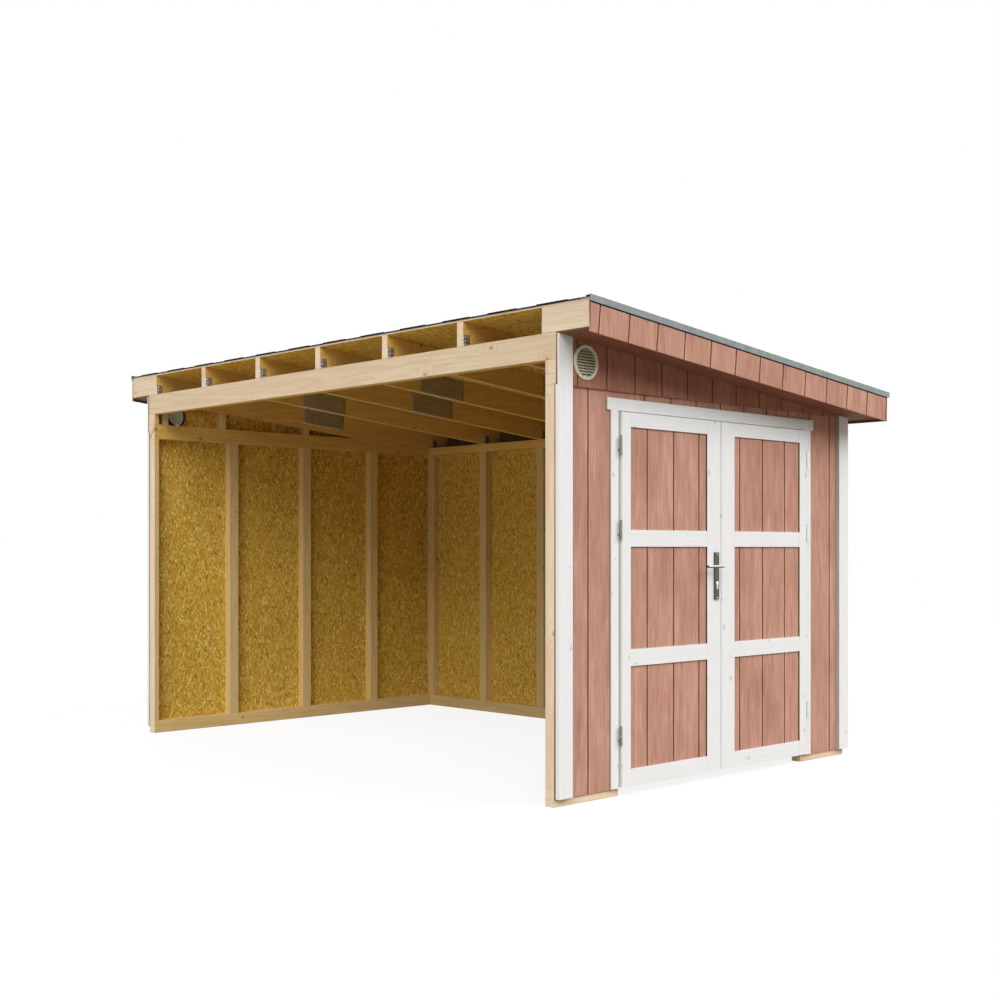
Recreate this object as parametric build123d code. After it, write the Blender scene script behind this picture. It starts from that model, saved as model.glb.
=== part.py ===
"""Lean-to garden shed of timber panels, open along its high side.

Frame: the origin is the middle of the part's footprint on the ground, with +Z up.
The double door is in the front wall, which faces -Y. The roof falls towards +X.
The open side, which is fastened to another building, faces -X.
All sizes are in millimetres.
"""
import os
from math import cos, radians, tan

from build123d import *

# Timber frame
FRAME_WIDTH = 2466.0  # front and back walls, from the open side to the low side
FRAME_LENGTH = 3716.0  # from the front face of the frame to its back face
FRAME_DEPTH = 58.0  # thickness of every wall frame
END_WALL_HEIGHT = 1991.0  # top of the front and back wall panels
SIDE_WALL_RISE = 12.0  # low side wall, where the rafters sit, above the end walls
SILL_HEIGHT = 38.0
BOTTOM_PLATE_HEIGHT = 42.0
END_TOP_PLATE_HEIGHT = 47.0
SIDE_TOP_PLATE_HEIGHT = 60.0
EDGE_STUD = 35.0  # a panel's edge stud, and two of them where panels meet
END_WALL_PANELS = 4  # panels side by side in the back wall
CORNER_CLEARANCE = 1.5  # between the side wall's timbers and the end walls

# Gable panels, which stand on the end walls
GABLE_STEP = 12.0  # how far a gable panel stands proud of the wall below
GABLE_BOTTOM_PLATE = 48.0
GABLE_TOP_PLATE = 35.0
GABLE_STUD_FIRST = 70.0  # from the open side, after the end stud
GABLE_STUD_SECOND = 517.0

# Roof
ROOF_PITCH = 5.5  # degrees
BEAM_WIDTH = 58.0
BEAM_HEIGHT = 128.0
RAFTER_WIDTH = 45.0
RAFTER_HEIGHT = 124.0  # measured plumb
RAFTER_COUNT = 7
DECK_THICKNESS = 9.0
SHINGLE_THICKNESS = 9.0
VERGE_STRIP_WIDTH = 23.0  # shingle turned up along the verge
VERGE_STRIP_RISE = 14.0  # above the deck
VERGE_REACH = 222.0  # front wall frame to the outside of the barge rafter
VERGE_BLOCK = 45.0
EAVE_REACH = 99.0  # side cladding to the face of the eave fascia
EAVE_DRIP = 21.0  # eave fascia to the edge of the drip trim
HIGH_LAP = 6.0  # shingles past the open side
FASCIA_DROP = 22.0  # fascia below the rafters
SOFFIT_THICKNESS = 8.0
TRIM_FACE = 31.0
TRIM_UPSTAND = 16.0  # verge trim above the deck
TRIM_METAL = 2.0
TRIM_OFFSET = 4.0  # fascia to the outside of the trim
TRIM_FLANGE = 60.0

# Steel plates and angles that join the rafters
SPLICE_LENGTH = 354.0
SPLICE_THICKNESS = 2.0
SPLICE_START = 744.0  # from the open side
SPLICE_STAGGER = 446.0  # farther down on every other rafter
BRACKET_WIDTH = 46.0
BRACKET_HEIGHT = 58.0
BRACKET_FOOT = 40.0
BRACKET_METAL = 2.0

# Grooved cladding
CLADDING = 10.0
CLADDING_LAP = 3.0  # gable cladding over the wall cladding
GROOVE_PITCH = 208.5
GROOVE_WIDTH = 9.0
GROOVE_DEPTH = 4.0
WALL_GROOVE = 224.0  # first groove from the open side
GABLE_GROOVE = 138.0
FASCIA_GROOVE = 56.0
SIDE_GROOVE = 104.0  # first groove from the front

# Corner boards and door surround
CORNER_BOARD_WIDTH = 95.0
CORNER_BOARD_THICKNESS = 22.0
CORNER_BOARD_LIFT = 2.0  # above the cladding's bottom edge
SURROUND_THICKNESS = 10.0
JAMB_WIDTH = 57.0
HEAD_HEIGHT = 60.0
HEAD_REACH = 27.5  # head board past the jambs

# Double door
DOOR_ASIDE = 4.0  # from the middle of the front wall
DOORWAY_WIDTH = 1571.0
LINTEL_HEIGHT = 66.0
LEAF_OVERLAP = 12.0  # leaf over the wall frame, beside and above the doorway
LEAF_THICKNESS = 28.0
LEAF_BOTTOM = 46.0
LEAF_TOP_CLEARANCE = 5.0  # leaf to the head board
LEAF_BACK_CLEARANCE = 5.0  # leaf to the wall frame
LEAF_SIDE_CLEARANCE = 7.0  # leaf to the jamb
MEETING_GAP = 6.0
HINGE_STILE = 67.5
MEETING_STILE = 116.0
BOTTOM_RAIL = 83.0
MIDDLE_RAIL = 83.0
TOP_RAIL = 73.0
MIDDLE_RAILS = 2
PANEL_RECESS = 8.0
LEFT_PANEL_GROOVE = 134.0  # first groove from the left edge of the panel
RIGHT_PANEL_GROOVE = 56.0

# Screw-in barrel hinges
HINGE_HEIGHT = 90.0
HINGE_DIAMETER = 13.0
HINGE_PIN = 7.0
HINGE_PIN_CLEARANCE = 0.4
HINGE_END_CLEARANCE = 0.6
HINGE_LUG = 8.0
HINGE_FORWARD = 3.0  # axis in front of the leaf
HINGE_ASIDE = 9.6  # axis beside the leaf
HINGE_LOW = 254.0  # above the bottom of the leaf
HINGE_MIDDLE = 580.0  # below the top of the leaf
HINGE_HIGH = 166.0

# Lock set
LOCK_PLATE_WIDTH = 35.0
LOCK_PLATE_HEIGHT = 248.0
LOCK_PLATE_THICKNESS = 11.0
LOCK_PLATE_BEVEL = 2.0
LOCK_PLATE_BOTTOM = 950.0
LOCK_BACKSET = 43.0  # meeting edge to the spindle
LEVER_RISE = 174.0  # above the bottom of the lock plate
LEVER_LENGTH = 128.0
LEVER_REACH = 48.0
LEVER_DIAMETER = 14.0
LEVER_CLEARANCE = 0.6
SPINDLE_DIAMETER = 9.0
SPINDLE_CLEARANCE = 1.5
KEYHOLE_RISE = 84.0
KEYHOLE_DIAMETER = 17.0
KEYHOLE_SLOT_WIDTH = 10.0
KEYHOLE_SLOT_DROP = 24.0

# Round louvred gable vents
VENT_DIAMETER = 170.0
VENT_OPENING = 138.0
VENT_FLANGE = 8.0
VENT_BEVEL = 3.0
VENT_SPIGOT_WALL = 3.0
VENT_HOLE_CLEARANCE = 1.0
VENT_RIB = 9.0
VENT_SLATS = 11
VENT_SLAT_DEPTH = 14.0
VENT_SLAT_THICKNESS = 2.0
VENT_SLAT_TILT = 30.0  # degrees, with the lower edge outside
VENT_FROM_OPEN_SIDE = 195.0
VENT_LIFT = 3.5  # above the middle of the gable panel there

# Places that follow from the sizes
SIDE_WALL_HEIGHT = END_WALL_HEIGHT + SIDE_WALL_RISE
CLADDING_BOTTOM = SILL_HEIGHT
CORNER_BOARD_BOTTOM = CLADDING_BOTTOM + CORNER_BOARD_LIFT
LOW_REACH = FRAME_WIDTH + CLADDING + EAVE_REACH + EAVE_DRIP
OPEN_X = -(LOW_REACH - HIGH_LAP) / 2
LOW_X = OPEN_X + FRAME_WIDTH
FRONT_Y = -FRAME_LENGTH / 2
BACK_Y = FRAME_LENGTH / 2
SIDE_IN_X = LOW_X - FRAME_DEPTH
SIDE_OUT_X = LOW_X + CLADDING
EAVE_X = SIDE_OUT_X + EAVE_REACH
EAVE_IN_X = EAVE_X - CLADDING
ROOF_HIGH_X = OPEN_X - HIGH_LAP
ROOF_LOW_X = EAVE_X + EAVE_DRIP
BARGE_Y = FRONT_Y - VERGE_REACH
FASCIA_Y = BARGE_Y - CLADDING
TRIM_Y = FASCIA_Y - TRIM_OFFSET
CLADDING_Y = FRONT_Y - CLADDING
GABLE_Y = FRONT_Y - GABLE_STEP
GABLE_FACE_Y = GABLE_Y - CLADDING
CORNER_BOARD_Y = CLADDING_Y - CORNER_BOARD_THICKNESS
FLOOR_PLATE_TOP = SILL_HEIGHT + BOTTOM_PLATE_HEIGHT
END_STUD_TOP = END_WALL_HEIGHT - END_TOP_PLATE_HEIGHT
SIDE_STUD_TOP = SIDE_WALL_HEIGHT - SIDE_TOP_PLATE_HEIGHT
GABLE_STUD_BOTTOM = END_WALL_HEIGHT + GABLE_BOTTOM_PLATE
GABLE_CLADDING_BOTTOM = END_WALL_HEIGHT - CLADDING_LAP
RAFTER_SPACING = (FRAME_LENGTH - 2 * FRAME_DEPTH) / (RAFTER_COUNT - 1)
RAFTER_PLACES = [FRONT_Y + FRAME_DEPTH + RAFTER_SPACING * k for k in range(RAFTER_COUNT)]
DOOR_X = (OPEN_X + SIDE_OUT_X) / 2 + DOOR_ASIDE
DOORWAY = (DOOR_X - DOORWAY_WIDTH / 2, DOOR_X + DOORWAY_WIDTH / 2)
DOORWAY_HEIGHT = END_STUD_TOP - LINTEL_HEIGHT
LEAF_WIDTH = (DOORWAY_WIDTH - MEETING_GAP) / 2 + LEAF_OVERLAP
LEAF_TOP = DOORWAY_HEIGHT + LEAF_OVERLAP
HEAD_BOTTOM = LEAF_TOP + LEAF_TOP_CLEARANCE
LEAF = (DOOR_X - MEETING_GAP / 2 - LEAF_WIDTH, DOOR_X - MEETING_GAP / 2)
JAMB_IN_X = LEAF[0] - LEAF_SIDE_CLEARANCE
LEAF_BACK_Y = FRONT_Y - LEAF_BACK_CLEARANCE
LEAF_FRONT_Y = LEAF_BACK_Y - LEAF_THICKNESS
SURROUND_Y = CLADDING_Y - SURROUND_THICKNESS
LEVER_HEIGHT = LOCK_PLATE_BOTTOM + LEVER_RISE
KEYHOLE_HEIGHT = LOCK_PLATE_BOTTOM + KEYHOLE_RISE

# Plumb heights of the roof's layers above the underside of the rafters
PLUMB = 1 / cos(radians(ROOF_PITCH))
DECK_BASE = RAFTER_HEIGHT
DECK_TOP = DECK_BASE + DECK_THICKNESS * PLUMB
SHINGLE_TOP = DECK_TOP + SHINGLE_THICKNESS * PLUMB
TRIM_TOP = DECK_TOP + TRIM_METAL * PLUMB
SOFFIT_BASE = -SOFFIT_THICKNESS * PLUMB


def roof_line(x):
    """Height of the underside of the rafters."""
    return SIDE_WALL_HEIGHT + (SIDE_IN_X - x) * tan(radians(ROOF_PITCH))


def block(x, y, z):
    """A board or timber between pairs of limits."""
    middle = [sum(limits) / 2 for limits in (x, y, z)]
    sizes = [limits[1] - limits[0] for limits in (x, y, z)]
    return Pos(*middle) * Box(*sizes)


def profile(points, y):
    """An outline in the XZ plane, extruded between two Y limits."""
    outline = Polyline(*[(x, y[0], z) for x, z in points], close=True)
    return extrude(make_face(outline), amount=y[1] - y[0], dir=(0, 1, 0))


def roof_layer(x, y, low, high):
    """A layer that lies along the roof, with plumb ends."""
    corners = [(x[0], low), (x[1], low), (x[1], high), (x[0], high)]
    return profile([(place, roof_line(place) + lift) for place, lift in corners], y)


def under_roof(x, y, bottom, lift=0):
    """A board that stands plumb and is cut to the roof's slope at its top."""
    points = [(x[0], bottom), (x[1], bottom)]
    points += [(x[1], roof_line(x[1]) + lift), (x[0], roof_line(x[0]) + lift)]
    return profile(points, y)


def both_ends(solid):
    """The same piece at the front and at the back."""
    return [solid, mirror(solid, about=Plane.XZ)]


def both_jambs(solid):
    """The same piece on the left and right of the double door."""
    return [solid, mirror(solid, about=Plane.YZ.offset(DOOR_X))]


def groove_places(start, first, end):
    """Groove centres that lie between two limits."""
    count = int((end - start - first + GROOVE_PITCH) // GROOVE_PITCH)
    places = [start + first + GROOVE_PITCH * k for k in range(count)]
    return [place for place in places if place < end - GROOVE_WIDTH]


def end_grooves(limits, face_y, z, start, first):
    """Upright grooves in a sheet that faces the front."""
    places = groove_places(start, first, limits[1])
    places = [place for place in places if place > limits[0] + GROOVE_WIDTH]
    half = GROOVE_WIDTH / 2
    return [block((x - half, x + half), (face_y, face_y + GROOVE_DEPTH), z) for x in places]


nodes = {}

# Sills, plates and studs
FRONT = (FRONT_Y, FRONT_Y + FRAME_DEPTH)
BACK = (BACK_Y - FRAME_DEPTH, BACK_Y)
SIDE = (SIDE_IN_X, LOW_X)
SIDE_RUN = (FRONT[1] + CORNER_CLEARANCE, BACK[0] - CORNER_CLEARANCE)
WHOLE_WIDTH = (OPEN_X, LOW_X)


def floor_timbers(z):
    """One course of timbers round the three walls, left out in the doorway."""
    return [
        block((OPEN_X, DOORWAY[0]), FRONT, z),
        block((DOORWAY[1], LOW_X), FRONT, z),
        block(WHOLE_WIDTH, BACK, z),
        block(SIDE, SIDE_RUN, z),
    ]


nodes["ground_sills"] = floor_timbers((0, SILL_HEIGHT))
nodes["bottom_plates"] = floor_timbers((SILL_HEIGHT, FLOOR_PLATE_TOP))

front_top_plate = block(WHOLE_WIDTH, FRONT, (END_STUD_TOP, END_WALL_HEIGHT))
side_top_plate = block(SIDE, SIDE_RUN, (SIDE_STUD_TOP, SIDE_WALL_HEIGHT))
nodes["wall_top_plates"] = both_ends(front_top_plate) + [side_top_plate]

end_stud_z = (FLOOR_PLATE_TOP, END_STUD_TOP)
front_stud_starts = [OPEN_X, DOORWAY[0] - EDGE_STUD, DOORWAY[1], LOW_X - EDGE_STUD]
nodes["front_studs"] = [block((x, x + EDGE_STUD), FRONT, end_stud_z) for x in front_stud_starts]

panel_width = FRAME_WIDTH / END_WALL_PANELS
panel_joints = [OPEN_X + panel_width * k for k in range(1, END_WALL_PANELS)]
nodes["back_studs"] = [
    block((OPEN_X, OPEN_X + EDGE_STUD), BACK, end_stud_z),
    *[block((x - EDGE_STUD, x + EDGE_STUD), BACK, end_stud_z) for x in panel_joints],
    block((LOW_X - EDGE_STUD, LOW_X), BACK, end_stud_z),
]

side_stud_z = (FLOOR_PLATE_TOP, SIDE_STUD_TOP)
nodes["side_studs"] = [
    block(SIDE, (SIDE_RUN[0], SIDE_RUN[0] + EDGE_STUD), side_stud_z),
    *[block(SIDE, (y - EDGE_STUD, y + EDGE_STUD), side_stud_z) for y in RAFTER_PLACES[1:-1]],
    block(SIDE, (SIDE_RUN[1] - EDGE_STUD, SIDE_RUN[1]), side_stud_z),
]
nodes["door_lintel"] = [block(DOORWAY, FRONT, (DOORWAY_HEIGHT, END_STUD_TOP))]

# Beam along the open side, and the gable panels under the roof
BEAM_TOP = roof_line(OPEN_X)
beam_x = (OPEN_X, OPEN_X + BEAM_WIDTH)
beam = block(beam_x, (GABLE_Y, -GABLE_Y), (BEAM_TOP - BEAM_HEIGHT, BEAM_TOP))
nodes["open_side_beam"] = [beam]

GABLE = (GABLE_Y, FRONT[1])
gable_wedge = under_roof(WHOLE_WIDTH, GABLE, END_WALL_HEIGHT)
plate_slab = block(WHOLE_WIDTH, GABLE, (END_WALL_HEIGHT, GABLE_STUD_BOTTOM))
nodes["gable_bottom_plates"] = both_ends(gable_wedge & plate_slab)

gable_room = block((beam_x[1], LOW_X), GABLE, (GABLE_STUD_BOTTOM, BEAM_TOP))
top_plate_base = -GABLE_TOP_PLATE * PLUMB
sloping_plate = roof_layer((beam_x[1], LOW_X), GABLE, top_plate_base, 0)
nodes["gable_top_plates"] = both_ends(sloping_plate & gable_room)

gable_studs = [block((OPEN_X, OPEN_X + EDGE_STUD), GABLE, (GABLE_STUD_BOTTOM, BEAM_TOP - BEAM_HEIGHT))]
middle_stud = (FRAME_WIDTH - EDGE_STUD) / 2
for place in (GABLE_STUD_FIRST, GABLE_STUD_SECOND, middle_stud):
    stud_x = (OPEN_X + place, OPEN_X + place + EDGE_STUD)
    gable_studs.append(under_roof(stud_x, GABLE, GABLE_STUD_BOTTOM, top_plate_base))
nodes["gable_studs"] = [solid for stud in gable_studs for solid in both_ends(stud)]

# Rafters, notched over the beam and the side wall's plate
RAFTER_TOP = RAFTER_HEIGHT
rafters = []
for k, y in enumerate(RAFTER_PLACES):
    is_end = k in (0, RAFTER_COUNT - 1)
    start = OPEN_X + VERGE_BLOCK if is_end else OPEN_X
    rafter_y = (y - RAFTER_WIDTH / 2, y + RAFTER_WIDTH / 2)
    rafter = roof_layer((start, EAVE_IN_X), rafter_y, 0, RAFTER_TOP)
    rafters.append(rafter - beam - side_top_plate)
nodes["rafters"] = rafters

splices = []
for k, y in enumerate(RAFTER_PLACES):
    start = OPEN_X + SPLICE_START + (SPLICE_STAGGER if k % 2 == 0 else 0)
    inner = y + RAFTER_WIDTH / 2
    outer = inner + SPLICE_THICKNESS
    span = (start, start + SPLICE_LENGTH)
    splices.append(roof_layer(span, (inner, outer), 0, RAFTER_TOP))
    splices.append(roof_layer(span, (2 * y - outer, 2 * y - inner), 0, RAFTER_TOP))
nodes["splice_plates"] = splices

bracket_x = (0, BRACKET_WIDTH)
bracket_foot = block(bracket_x, (0, BRACKET_FOOT), (0, BRACKET_METAL))
bracket_leg = block(bracket_x, (0, BRACKET_METAL), (0, BRACKET_HEIGHT))
bracket = Pos(0, RAFTER_WIDTH / 2, 0) * (bracket_foot + bracket_leg)
brackets = []
for k, y in enumerate(RAFTER_PLACES):
    facing = bracket if k == 0 else mirror(bracket, about=Plane.XZ)
    brackets.append(Pos(OPEN_X, y, BEAM_TOP) * facing)
    brackets.append(Pos(SIDE_IN_X, y, SIDE_WALL_HEIGHT) * facing)
nodes["rafter_brackets"] = brackets

# Overhang at the front and back: end block, barge rafter, fascia and soffit
end_rafter_in = RAFTER_PLACES[0] + RAFTER_WIDTH / 2
verge_block = roof_layer((OPEN_X, OPEN_X + VERGE_BLOCK), (BARGE_Y, end_rafter_in), 0, RAFTER_TOP) - beam
nodes["verge_blocks"] = both_ends(verge_block)
barge_x = (OPEN_X + VERGE_BLOCK, EAVE_IN_X)
barge_rafter = roof_layer(barge_x, (BARGE_Y, BARGE_Y + RAFTER_WIDTH), 0, RAFTER_TOP)
nodes["barge_rafters"] = both_ends(barge_rafter)

fascia = roof_layer((OPEN_X, EAVE_X), (FASCIA_Y, BARGE_Y), -FASCIA_DROP, DECK_BASE)
half_groove = GROOVE_WIDTH / 2
for place in groove_places(OPEN_X, FASCIA_GROOVE, EAVE_X):
    cutter = block((-half_groove, half_groove), (0, GROOVE_DEPTH), (-RAFTER_HEIGHT, 2 * RAFTER_HEIGHT))
    fascia -= Pos(place, FASCIA_Y, roof_line(place)) * Rot(0, ROOF_PITCH, 0) * cutter
nodes["verge_fascias"] = both_ends(fascia)
nodes["eave_fascia"] = [roof_layer((EAVE_IN_X, EAVE_X), (BARGE_Y, -BARGE_Y), -FASCIA_DROP, DECK_BASE)]

verge_soffit = roof_layer((OPEN_X, EAVE_IN_X), (BARGE_Y, GABLE_FACE_Y), SOFFIT_BASE, 0)
nodes["verge_soffits"] = both_ends(verge_soffit)
eave_soffit_y = (GABLE_FACE_Y, -GABLE_FACE_Y)
nodes["eave_soffit"] = [roof_layer((SIDE_OUT_X, EAVE_IN_X), eave_soffit_y, SOFFIT_BASE, 0)]

# Deck, metal trims and shingles
nodes["roof_deck"] = [roof_layer((OPEN_X, EAVE_X), (FASCIA_Y, -FASCIA_Y), DECK_BASE, DECK_TOP)]
trim_run = (ROOF_HIGH_X, ROOF_LOW_X)
verge_trim_top = DECK_TOP + TRIM_UPSTAND * PLUMB
verge_trim_bottom = verge_trim_top - TRIM_FACE * PLUMB
verge_flange = roof_layer(trim_run, (TRIM_Y, FASCIA_Y + TRIM_FLANGE), DECK_TOP, TRIM_TOP)
verge_leg = roof_layer(trim_run, (TRIM_Y, TRIM_Y + TRIM_METAL), verge_trim_bottom, verge_trim_top)
verge_trims = both_ends(verge_flange + verge_leg)
nodes["verge_trims"] = verge_trims
eave_trim_y = (FASCIA_Y + TRIM_FLANGE, -FASCIA_Y - TRIM_FLANGE)
eave_flange = roof_layer((EAVE_X - TRIM_FLANGE, ROOF_LOW_X), eave_trim_y, DECK_TOP, TRIM_TOP)
eave_trim_bottom = TRIM_TOP - TRIM_FACE * PLUMB
eave_leg = roof_layer((ROOF_LOW_X - TRIM_METAL, ROOF_LOW_X), eave_trim_y, eave_trim_bottom, TRIM_TOP)
eave_trim = eave_flange + eave_leg
nodes["eave_trim"] = [eave_trim]
shingles = roof_layer(trim_run, (FASCIA_Y, -FASCIA_Y), DECK_TOP, SHINGLE_TOP)
strip_y = (TRIM_Y + TRIM_METAL, FASCIA_Y + VERGE_STRIP_WIDTH)
verge_strip = roof_layer(trim_run, strip_y, TRIM_TOP, DECK_TOP + VERGE_STRIP_RISE * PLUMB)
for strip in both_ends(verge_strip):
    shingles += strip
for trim in [*verge_trims, eave_trim]:
    shingles -= trim
nodes["roof_shingles"] = [shingles]

# Cladding of the front wall, beside and over the doorway
wall_z = (CLADDING_BOTTOM, END_WALL_HEIGHT)
front_sheet_y = (CLADDING_Y, FRONT_Y)
jamb_in_right = 2 * DOOR_X - JAMB_IN_X
front_sheets = {
    "front_cladding_left": ((OPEN_X, JAMB_IN_X), wall_z),
    "front_cladding_right": ((jamb_in_right, LOW_X), wall_z),
    "front_cladding_over_door": ((JAMB_IN_X, jamb_in_right), (HEAD_BOTTOM, END_WALL_HEIGHT)),
}
for name, (limits, z) in front_sheets.items():
    sheet = block(limits, front_sheet_y, z)
    for groove in end_grooves(limits, CLADDING_Y, z, OPEN_X, WALL_GROOVE):
        sheet -= groove
    nodes[name] = [sheet]

# Cladding of the back and side walls
back_sheet = block(WHOLE_WIDTH, front_sheet_y, wall_z)
for groove in end_grooves(WHOLE_WIDTH, CLADDING_Y, wall_z, OPEN_X, WALL_GROOVE):
    back_sheet -= groove
nodes["back_cladding"] = [mirror(back_sheet, about=Plane.XZ)]

side_limits = (CLADDING_Y, -CLADDING_Y)
side_z = (CLADDING_BOTTOM, roof_line(SIDE_OUT_X))
side_sheet = block((LOW_X, SIDE_OUT_X), side_limits, side_z)
for y in groove_places(CLADDING_Y, SIDE_GROOVE, -CLADDING_Y):
    groove_y = (y - half_groove, y + half_groove)
    side_sheet -= block((SIDE_OUT_X - GROOVE_DEPTH, SIDE_OUT_X), groove_y, side_z)
nodes["side_cladding"] = [side_sheet]

# Gable cladding, with the hole for the vent
gable_limits = (OPEN_X, SIDE_OUT_X)
gable_sheet = under_roof(gable_limits, (GABLE_FACE_Y, GABLE_Y), GABLE_CLADDING_BOTTOM)
gable_groove_z = (GABLE_CLADDING_BOTTOM, roof_line(OPEN_X))
for groove in end_grooves(gable_limits, GABLE_FACE_Y, gable_groove_z, OPEN_X, GABLE_GROOVE):
    gable_sheet -= groove
vent_x = OPEN_X + VENT_FROM_OPEN_SIDE
vent_height = (END_WALL_HEIGHT + roof_line(vent_x)) / 2 + VENT_LIFT
vent_plane = Plane((vent_x, GABLE_FACE_Y, vent_height), x_dir=(1, 0, 0), z_dir=(0, -1, 0))
vent_inner = VENT_OPENING / 2
hole_radius = vent_inner + VENT_SPIGOT_WALL + VENT_HOLE_CLEARANCE
gable_sheet -= vent_plane * Cylinder(hole_radius, 2 * CLADDING)
nodes["front_gable_cladding"] = [gable_sheet]
nodes["back_gable_cladding"] = [mirror(gable_sheet, about=Plane.XZ)]

# Vent: a rounded flange on a spigot, with a rib and tilted slats across it
on_base = (Align.CENTER, Align.CENTER, Align.MIN)
flange = Cylinder(VENT_DIAMETER / 2, VENT_FLANGE, align=on_base)
flange = chamfer(flange.edges().group_by(Axis.Z)[-1], VENT_BEVEL)
flange -= Cylinder(vent_inner, VENT_FLANGE, align=on_base)
spigot = Cylinder(vent_inner + VENT_SPIGOT_WALL, CLADDING) - Cylinder(vent_inner, CLADDING)
spigot = Pos(0, 0, -CLADDING / 2) * spigot
vent_bore = Cylinder(vent_inner, VENT_FLANGE, align=on_base)
rib = Pos(0, 0, VENT_FLANGE / 2) * Box(VENT_RIB, VENT_OPENING + VENT_SPIGOT_WALL, VENT_FLANGE)
vent = flange + spigot + (rib & Cylinder(vent_inner + VENT_SPIGOT_WALL, VENT_FLANGE, align=on_base))
slat_pitch = VENT_OPENING / (VENT_SLATS + 1)
slat_trim = Cylinder(vent_inner + VENT_SPIGOT_WALL, VENT_FLANGE, align=on_base)
for k in range(VENT_SLATS):
    height = slat_pitch * (k - (VENT_SLATS - 1) / 2)
    slat = Rot(-VENT_SLAT_TILT, 0, 0) * Box(VENT_DIAMETER, VENT_SLAT_DEPTH, VENT_SLAT_THICKNESS)
    vent += (Pos(0, height, VENT_FLANGE / 2) * slat) & slat_trim
nodes["gable_vents"] = both_ends(vent_plane * vent)

# White corner boards, rebated over the gable cladding
def corner_board(limits):
    y = (CORNER_BOARD_Y, CLADDING_Y)
    board = under_roof(limits, y, CORNER_BOARD_BOTTOM, SOFFIT_BASE)
    return board - gable_sheet - block(limits, (GABLE_FACE_Y, CLADDING_Y), (GABLE_CLADDING_BOTTOM, BEAM_TOP))


corner_limits = [(OPEN_X, OPEN_X + CORNER_BOARD_WIDTH), (SIDE_OUT_X - CORNER_BOARD_WIDTH, SIDE_OUT_X)]
corner_boards = [corner_board(limits) for limits in corner_limits]
nodes["front_corner_boards"] = corner_boards
nodes["back_corner_boards"] = [mirror(board, about=Plane.XZ) for board in corner_boards]

# White door surround
surround_y = (SURROUND_Y, CLADDING_Y)
jamb_out_x = JAMB_IN_X - JAMB_WIDTH
jamb = block((jamb_out_x, JAMB_IN_X), surround_y, (CORNER_BOARD_BOTTOM, HEAD_BOTTOM))
nodes["door_jambs"] = both_jambs(jamb)
head_limits = (jamb_out_x - HEAD_REACH, 2 * DOOR_X - jamb_out_x + HEAD_REACH)
nodes["door_head"] = [block(head_limits, surround_y, (HEAD_BOTTOM, HEAD_BOTTOM + HEAD_HEIGHT))]

# Door leaves: stiles, rails and grooved panels between them
leaf_y = (LEAF_FRONT_Y, LEAF_BACK_Y)
panel_x = (LEAF[0] + HINGE_STILE, LEAF[1] - MEETING_STILE)
rail_total = BOTTOM_RAIL + MIDDLE_RAILS * MIDDLE_RAIL + TOP_RAIL
panel_height = (LEAF_TOP - LEAF_BOTTOM - rail_total) / (MIDDLE_RAILS + 1)
panel_bottoms = [LEAF_BOTTOM + BOTTOM_RAIL + k * (panel_height + MIDDLE_RAIL) for k in range(MIDDLE_RAILS + 1)]
panel_face_y = LEAF_FRONT_Y + PANEL_RECESS

leaf_z = (LEAF_BOTTOM, LEAF_TOP)
hinge_stile = block((LEAF[0], panel_x[0]), leaf_y, leaf_z)
meeting_stile = block((panel_x[1], LEAF[1]), leaf_y, leaf_z)
rails = [block(panel_x, leaf_y, (LEAF_BOTTOM, panel_bottoms[0]))]
for bottom in panel_bottoms[1:]:
    rails.append(block(panel_x, leaf_y, (bottom - MIDDLE_RAIL, bottom)))
rails.append(block(panel_x, leaf_y, (LEAF_TOP - TOP_RAIL, LEAF_TOP)))


def leaf_panels(limits, first_groove):
    """The grooved sheets that fill one leaf."""
    sheets = []
    for bottom in panel_bottoms:
        z = (bottom, bottom + panel_height)
        sheet = block(limits, (panel_face_y, panel_face_y + CLADDING), z)
        for groove in end_grooves(limits, panel_face_y, z, limits[0], first_groove):
            sheet -= groove
        sheets.append(sheet)
    return sheets


mirrored_panel_x = (2 * DOOR_X - panel_x[1], 2 * DOOR_X - panel_x[0])
nodes["left_door_panels"] = leaf_panels(panel_x, LEFT_PANEL_GROOVE)
nodes["right_door_panels"] = leaf_panels(mirrored_panel_x, RIGHT_PANEL_GROOVE)
nodes["left_door_rails"] = rails
nodes["right_door_rails"] = [both_jambs(rail)[1] for rail in rails]

# Lock plates on both faces, the lever on its spindle
spindle_x = LEAF[1] - LOCK_BACKSET
spindle_middle = Plane((spindle_x, (LEAF_FRONT_Y + LEAF_BACK_Y) / 2, LEVER_HEIGHT), x_dir=(1, 0, 0), z_dir=(0, -1, 0))
plate_half = LOCK_PLATE_WIDTH / 2
plate_x = (spindle_x - plate_half, spindle_x + plate_half)
plate_z = (LOCK_PLATE_BOTTOM, LOCK_PLATE_BOTTOM + LOCK_PLATE_HEIGHT)
outer_plate = block(plate_x, (LEAF_FRONT_Y - LOCK_PLATE_THICKNESS, LEAF_FRONT_Y), plate_z)
outer_plate = chamfer(outer_plate.edges().group_by(Axis.Y)[0], LOCK_PLATE_BEVEL)
leaf_middle = Plane.XZ.offset(-(LEAF_FRONT_Y + LEAF_BACK_Y) / 2)
spindle_bore = spindle_middle * Cylinder(SPINDLE_DIAMETER / 2 + SPINDLE_CLEARANCE, 2 * LEVER_REACH)
key_x = (spindle_x - KEYHOLE_SLOT_WIDTH / 2, spindle_x + KEYHOLE_SLOT_WIDTH / 2)
key_y = (LEAF_FRONT_Y - LOCK_PLATE_THICKNESS, LEAF_FRONT_Y)
keyhole = block(key_x, key_y, (KEYHOLE_HEIGHT - KEYHOLE_SLOT_DROP, KEYHOLE_HEIGHT))
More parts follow.
